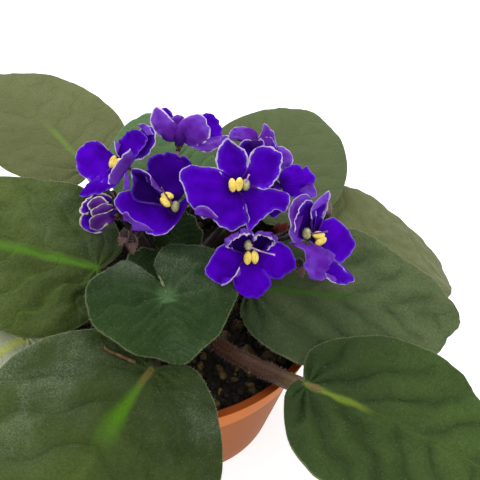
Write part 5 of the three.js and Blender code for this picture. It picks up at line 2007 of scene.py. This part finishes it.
@dataclass(frozen=True)
class Peduncle:
    """A flower stalk from the crown to its fork, with what it carries.

    Attributes:
        name: Name of its solid.
        angle: Where round the crown it stands.
        fork: Where its pedicels part.
        flowers: Names of its flowers.
        buds: Its buds.
        foot_reach: Distance of its foot from the crown's middle.
        foot_height: Height of its foot.
        crown_top: Height at which it leaves the crown.
        radius: Radius of the stalk.
        pedicel_radius: Radius of a pedicel.
    """

    name: str
    angle: float
    fork: Point
    flowers: tuple[str, ...]
    buds: tuple[Bud, ...] = ()
    foot_reach: float = 5.0
    foot_height: float = 82.0
    crown_top: float = 90.0
    radius: float = 1.15
    pedicel_radius: float = 0.8

    def sepal(self) -> Surface:
        """One narrow pointed sepal that leans out from the origin along +X.

        Returns:
            The closed surface.
        """
        t, w = np.meshgrid(np.linspace(0, 1, 9), np.linspace(-1, 1, 5), indexing="ij")
        width = 0.8 * np.sin(np.clip(t * 0.85 + 0.15, 0, 1) * math.pi) ** 0.7
        x = 1.3 + 0.5 * t
        z = -5.4 + 4.2 * t**1.1
        sheet = Surface(
            np.stack([x, w * width, z + 0.25 * w * w], -1).reshape(-1, 3),
            grid_faces(9, 5),
            {"along": t.ravel(), "around": w.ravel(), "fuzz": np.ones(45)},
        )
        edge = list(range(5)) + [i * 5 + 4 for i in range(1, 9)] + [44 - j for j in range(1, 5)]
        edge += [i * 5 for i in range(7, 0, -1)]
        return outward(shell(sheet, edge, np.full(45, SEPAL_THICKNESS)))

    def calyx(self, flower: Flower, skin: Material) -> Surface:
        """The cup and its ring of sepals behind a flower.

        Args:
            flower: The flower.
            skin: Finish of the sepals.

        Returns:
            The surface, in place.
        """
        one = to_object("sepal", self.sepal(), skin)
        Trees.get("ring").apply(one, Count=5, Start=30 * DEG, Material=skin)
        mesh = one.data
        points = np.array([v.co for v in mesh.vertices]) / MM
        faces = [tuple(p.vertices) for p in mesh.polygons]
        labels = ("along", "around", "fuzz")
        numbers = {label: np.array([a.value for a in mesh.attributes[label].data]) for label in labels}
        bpy.data.objects.remove(one)
        bpy.data.meshes.remove(mesh)
        cup = lathe(CUP, 16)
        cup.numbers = {"along": np.full(len(cup.points), 0.6), "fuzz": np.ones(len(cup.points))}
        whole = cup.joined(Surface(points, faces, numbers))
        whole.points[:, :2] *= flower.calyx_width
        whole.points = flower.place(whole.points)
        return whole

    def bud_body(self, bud: Bud, fork: Array) -> Surface:
        """A pointed ball of sepals with grooves between them, and its own short stalk.

        Args:
            bud: The bud.
            fork: Where its stalk starts.

        Returns:
            The surface, in place.
        """
        at = np.array(bud.at)
        shape = ball((1, 1, 1), 18, 25)
        turn = np.arctan2(shape.points[:, 1], shape.points[:, 0])
        rise = shape.points[:, 2]
        groove = 1 - 0.13 * np.abs(np.cos(2.5 * turn + 0.6 * rise)) ** 6 * smooth(-0.9, 0.2, rise)
        taper = 1 - 0.45 * smooth(-0.1, 1.0, rise)
        shape.points[:, :2] *= (groove * taper)[:, None]
        shape.points = shape.points * np.array([bud.size, bud.size, bud.size * 1.9])
        spin = Vector(bud.heading).to_track_quat("Z", "Y").to_matrix()
        shape.points = shape.points @ np.array(spin).T + at
        along = smooth(-1.0, 0.3, rise) * 0.9
        shape.numbers = {"along": along, "around": turn / 6.3, "fuzz": 2 + 0 * rise}
        line = through([fork, (fork + at) / 2 + 0.4 * UP, at], 8)
        stem = tube(line, np.full(8, BUD_STALK_RADIUS), 10)
        stem.numbers["fuzz"] = np.ones(len(stem.points))
        return outward(shape).joined(stem)

    def build(self, flowers: dict[str, Flower], skin: Material) -> None:
        """Makes the stalk with its calyces and buds, and gives it its hairs.

        Args:
            flowers: All flowers by name.
            skin: Finish of the stalk.
        """
        fork = np.array(self.fork, float)
        foot = toward(self.angle) * self.foot_reach + self.foot_height * UP
        knee = foot + (self.crown_top - self.foot_height) * UP
        line = through([foot, knee, (foot + fork) / 2, fork], 24)
        whole = tube(line, np.linspace(1.1, 0.95, 24) * self.radius, 12)
        whole.numbers["fuzz"] = np.full(len(whole.points), 0.2)
        whole.numbers["along"] = 0.6 * whole.numbers["along"]
        for name in self.flowers:
            flower = flowers[name]
            end = flower.place(-6.0 * UP)
            distance = float(np.linalg.norm(end - fork))
            lifted = fork + 0.35 * (end - fork) + 0.12 * distance * UP
            before = end - flower.axes()[2] * 0.4 * distance
            path = bezier([fork, lifted, before, end], 16)
            whole = whole.joined(tube(path, np.linspace(1.15, 1.0, 16) * self.pedicel_radius, 10))
            whole = whole.joined(self.calyx(flower, skin))
        for bud in self.buds:
            whole = whole.joined(self.bud_body(bud, fork))
        whole.numbers["fuzz"] = np.where(whole.numbers.get("fuzz", 0) > 0, whole.numbers["fuzz"], 1.0)
        piece = to_object(f"{self.name}_stems", whole, skin)
        STALK_DOWN.grow(piece, seed=9)
        enrol(piece, "stem_brown", self.name)


PEDUNCLES = (
    Peduncle("stalk_back", 105, (8, 21, 104), ("flower_5", "flower_9")),
    Peduncle(
        "stalk_left", 160, (-10, 11, 102), ("flower_2", "flower_3", "flower_4"),
        (Bud((-16.8, 1, 106.5), 1.6, (-0.3, -0.7, -0.65)), Bud((-14, 0.5, 103.5), 1.9, (0.1, -0.7, -0.65))),
    ),
    Peduncle("stalk_middle", 40, (21, 15, 104), ("flower_1", "flower_8")),
    Peduncle(
        "stalk_right", -30, (32, 1, 102), ("flower_6", "flower_7"),
        (Bud((54, 8, 112), 2.0, (0.2, 0.6, 0.7)), Bud((45, -8.5, 101.5), 1.8, (0.2, -0.7, -0.6))),
    ),
)


# Pot, potting mix and crown


@dataclass(frozen=True)
class Pot:
    """The squat pot with its collar and drain holes."""

    height: float = 80.0
    rim_radius: float = 57.0
    rim_land: float = 2.7
    collar_height: float = 16.0
    collar_step: float = 2.2
    base_radius: float = 38.0
    wall: float = 1.8
    floor: float = 2.6
    drain_radius: float = 3.2
    drain_circle: float = 25.0
    drain_count: int = 8
    sides: int = 144

    def wall_at(self, z: float) -> float:
        """Outer radius of the wall below the collar at a height."""
        slope = (self.rim_radius - self.base_radius) / self.height
        return self.base_radius + slope * z - self.collar_step * (z / self.height)

    def zones(self) -> dict[str, list[tuple[float, float]]]:
        """Draws the profile, from the middle of the base up and down inside.

        Returns:
            Radius and height of each point, by zone.
        """
        slope = (self.rim_radius - self.base_radius) / self.height
        base = self.base_radius
        rim = self.rim_radius
        top = self.height
        low = top - self.collar_height
        foot = rim - slope * self.collar_height - 0.2
        inner = rim - self.rim_land
        wall = [(0, 0), (base - 6, 0), (base - 1, 0), (base - 0.3, 0.35), (base, 1.2)]
        wall += [(self.wall_at(z), z) for z in (1.8, 14, 28, 42, 56, low - 0.6, low)]
        collar = [(foot - 0.5, low + 0.05), (foot, low + 0.6), (foot + 0.2, low + 1.4)]
        rise = top - low - 1.1
        collar += [(foot + (rim - foot) * t, low + 0.6 + rise * t) for t in (0.3, 0.6, 0.9, 0.97)]
        collar += [(rim, top - 0.5)]
        lip = [(rim - 0.18, top - 0.15), (rim - 0.5, top), (rim - 1.4, top)]
        lip += [(inner + 0.3, top), (inner, top - 0.25)]
        within = self.wall_at(low) - self.wall
        inside = [(inner - 0.4, top - 1.5), (within + 1.4, low + 6), (within, low)]
        inside += [(self.wall_at(z) - self.wall, z) for z in (44, 22, 6, self.floor + 0.8)]
        inside += [(r, self.floor) for r in (self.wall_at(self.floor) - self.wall - 0.8, 20, 0)]
        return {"wall": wall, "collar": collar, "lip": lip, "inside": inside}

    def build(self) -> None:
        """Makes, drills and dresses the pot."""
        zones = self.zones()
        body = lathe(sum(zones.values(), []), self.sides)
        names = sum(([name] * len(points) for name, points in zones.items()), [])
        for name in ("collar", "lip", "inside"):
            here = np.repeat([float(zone == name) for zone in names[1:-1]], self.sides)
            body.numbers[name] = np.append(here, [0, float(name == "inside")])
        finish = PotFinish().make("terracotta_plastic")
        piece = to_object("pot_shell", body, finish)
        drains = {"Count": self.drain_count, "Circle": self.drain_circle, "Radius": self.drain_radius}
        Trees.get("drill").apply(piece, **drains, Material=finish)
        enrol(piece, "terracotta_plastic", "pot")


@dataclass(frozen=True)
class PottingMix:
    """The crumbly mix: a rough dark bed, crumbs and golden flakes."""

    top: float = 72.0
    bottom: float = 2.9
    radius_top: float = 50.8
    radius_bottom: float = 36.2
    hole: float = 7.6
    rings: int = 46
    sides: int = 150

    def height(self, x: Array, y: Array) -> Array:
        """Height of the mix's surface.

        Args:
            x: Places along the X axis.
            y: Places along the Y axis.

        Returns:
            The heights.
        """
        r = np.hypot(x, y) / 57
        crumbs = 0.5 * np.sin(0.55 * x + 1.3) * np.cos(0.47 * y - 0.4)
        crumbs = crumbs + 0.3 * np.sin(0.93 * x - 0.71 * y) + 0.3 * np.cos(1.21 * y + 0.83 * x + 2)
        fine = Waves(71, 2.8, 24).at(np.stack([x, y, 0 * x], -1)) * 0.35
        return self.top + 1.6 * (1 - r * r) + 1.1 * crumbs + fine

    def build(self) -> None:
        """Makes the bed and strews it."""
        angle = np.linspace(0, 2 * math.pi, self.sides, endpoint=False)
        circle = np.stack([np.cos(angle), np.sin(angle)])
        rings = []
        for r in np.linspace(self.hole, self.radius_top, self.rings)[:-1]:
            rings.append(np.stack([*(r * circle), self.height(*(r * circle))], -1))
        flat = [(self.radius_top, self.top - 1), (self.radius_top, self.top - 1.6)]
        for r, z in (*flat, (self.radius_bottom, self.bottom), (self.hole, self.bottom)):
            rings.append(np.stack([*(r * circle), np.full(self.sides, z)], -1))
        strew = np.repeat([1.0] * (self.rings - 1) + [0.0] * 4, self.sides)
        faces = grid_faces(len(rings), self.sides, wrap=True)
        last = (len(rings) - 1) * self.sides
        faces += [(last + j, last + (j + 1) % self.sides, (j + 1) % self.sides, j) for j in range(self.sides)]
        body = outward(Surface(np.concatenate(rings), faces, {"strew": strew}))
        bed = to_object("potting_mix", body, Paints.of(Finish.EARTH))
        flakes = bpy.data.objects.new("vermiculite", bed.data.copy())
        bpy.context.scene.collection.objects.link(flakes)
        crumb = Paints.of(Finish.CRUMB)
        bed.data.materials.append(crumb)
        lumps = {"Density": 0.12, "Size": 1.5, "Flat": 0.8, "Rough": 0.9}
        Trees.get("crumbs").apply(bed, **lumps, Seed=4, Material=crumb)
        lumps = {"Density": 0.035, "Size": 2.4, "Flat": 0.6, "Rough": 0.5}
        Trees.get("flakes").apply(flakes, **lumps, Seed=12, Material=Paints.of(Finish.FLAKE))
        flakes.data.shade_smooth()
        enrol(bed, "potting_mix", "soil")
        enrol(flakes, "potting_mix", "soil")


@dataclass(frozen=True)
class Crown:
    """The short thick stem in the middle, rough with the scars of old leaves."""

    radius: float = 7.5
    top: float = 90.0
    foot: float = 55.0

    def build(self) -> None:
        """Makes and dresses the stem."""
        heights = np.linspace(self.foot, self.top - 6, 30)
        profile = [(0, self.foot), (self.radius * 0.8, self.foot)]
        profile += [(self.radius * min(1, 0.8 + (z - self.foot) / 15), z) for z in heights[1:]]
        for share, below in ((0.93, 4), (0.75, 2), (0.4, 0.7), (0, 0)):
            profile.append((self.radius * share, self.top - below))
        body = lathe(profile, 48)
        turn = np.arctan2(body.points[:, 1], body.points[:, 0])
        z = body.points[:, 2]
        scars = 0.35 * np.sin(7 * turn + z * 0.9) * np.sin(z * 1.6) + 0.18 * Waves(3, 2.5).at(body.points)
        body.points[:, :2] *= (1 - 0.02 + 0.04 * scars)[:, None]
        body.numbers["fuzz"] = smooth(74.0, 84.0, z)
        piece = to_object("crown_stem", body, Paints.of(Finish.CROWN))
        CROWN_DOWN.grow(piece, seed=2)
        enrol(piece, "stem_brown", "crown")


@dataclass(frozen=True)
class Litter:
    """What lies loose on the plant: a dried stalk in front and a red scrap among the flower stalks.

    Attributes:
        stalk: Places along the dried stalk.
        scrap_at: Middle of the scrap.
        scrap_radii: Half of its width, depth and height.
    """

    stalk: tuple[Point, ...] = (
        (-21.2, -34.2, 96.8), (-19.5, -38.6, 96.6), (-15, -40.8, 96.3), (-9.9, -42.9, 96),
    )
    scrap_at: Point = (39.0, 12.7, 98.0)
    scrap_radii: Point = (2.6, 2.2, 1.6)

    def build(self) -> None:
        """Makes and places both."""
        path = through(self.stalk, 22)
        crooks = Waves(8, 4.0).at(path)[:, None] * np.array([0.12, 0.16, 0.1])
        stalk = tube(path + crooks, np.linspace(0.4, 0.6, 22), 9)
        enrol(to_object("dried_stalk", stalk, Paints.of(Finish.DRIED)), "leaf_green", "leaf_front_left")
        scrap = ball(self.scrap_radii, 16, 22)
        scrap.points = scrap.points + 0.35 * Waves(6, 2.2).at(scrap.points)[:, None] + np.array(self.scrap_at)
        enrol(to_object("red_scrap", scrap, Paints.of(Finish.RUSTY)), "stem_brown", "stalk_right")


# The photograph's view


@dataclass(frozen=True)
class Studio:
    """Pale floor, soft light and the camera of the photograph."""

    camera_at: Point = (24.0, -179.2, 319.8)
    camera_tilt: float = 40.0
    lens: float = 60.0
    sensor: float = 36.0

    def build(self) -> None:
        """Sets up the floor, the lights, the world and the camera."""
        self.floor()
        self.light("window_light", (-0.35, 0.75, 0.95), 0.9, 14.0)
        self.light("room_light", (0.6, -0.5, 1.1), 1.2, 9.0)
        world = bpy.data.worlds.new("soft_sky")
        bpy.context.scene.world = world
        world.use_nodes = True
        background = world.node_tree.nodes["Background"]
        background.inputs["Color"].default_value = WHITE
        background.inputs["Strength"].default_value = 0.75
        data = bpy.data.cameras.new("photo_camera")
        data.lens = self.lens
        data.sensor_width = self.sensor
        data.clip_start = 0.01
        camera = bpy.data.objects.new("photo_camera", data)
        camera.location = [c * MM for c in self.camera_at]
        camera.rotation_euler = (self.camera_tilt * DEG, 0, 0)
        bpy.context.scene.collection.objects.link(camera)
        bpy.context.scene.camera = camera
        bpy.context.scene.view_settings.view_transform = "Standard"

    def floor(self) -> None:
        """A wide pale floor under the pot."""
        size = 4000.0
        corners = np.array([[-size, -size, 0], [size, -size, 0], [size, size, 0], [-size, size, 0]], float)
        floor = to_object("floor", Surface(corners, [(0, 1, 2, 3)]), Paints.of(Finish.FLOOR))

    def light(self, name: str, at: Point, size: float, power: float) -> None:
        """A soft square light that shines at the plant.

        Args:
            name: Name of the light.
            at: Its place in metres.
            size: Its side in metres.
            power: Its power in watts.
        """
        data = bpy.data.lights.new(name, "AREA")
        data.size = size
        data.energy = power
        lamp = bpy.data.objects.new(name, data)
        lamp.location = at
        target = Vector((0.0, 0.0, 0.09))
        lamp.rotation_euler = (target - Vector(at)).to_track_quat("-Z", "Y").to_euler()
        bpy.context.scene.collection.objects.link(lamp)


def main() -> None:
    """Builds the plant, piece by piece, and the studio round it."""
    logging.basicConfig(level=logging.INFO, format="%(message)s")
    Studio().build()
    Pot().build()
    PottingMix().build()
    Crown().build()
    for leaf in LEAVES:
        leaf.build()
    petals = PetalFinish().make("petal_violet")
    bud_petals = replace(
        PetalFinish(),
        back=tint(68, 36, 102),
        back_deep=tint(44, 14, 78),
        back_halo=tint(84, 56, 108),
        edge=tint(196, 184, 170),
        edge_width=0.34,
    ).make("bud_violet")
    for flower in FLOWERS:
        style = Paints.of(Finish.PALE_STYLE if flower.pale_style else Finish.STYLE)
        flower.build(bud_petals if flower.closed else petals, style)
    skin = StemFinish(tint(22, 15, 12), tint(108, 78, 76), 0.6).make("stalk_red")
    by_name = {flower.name: flower for flower in FLOWERS}
    for peduncle in PEDUNCLES:
        peduncle.build(by_name, skin)
    Litter().build()


if __name__ == "__main__":
    main()
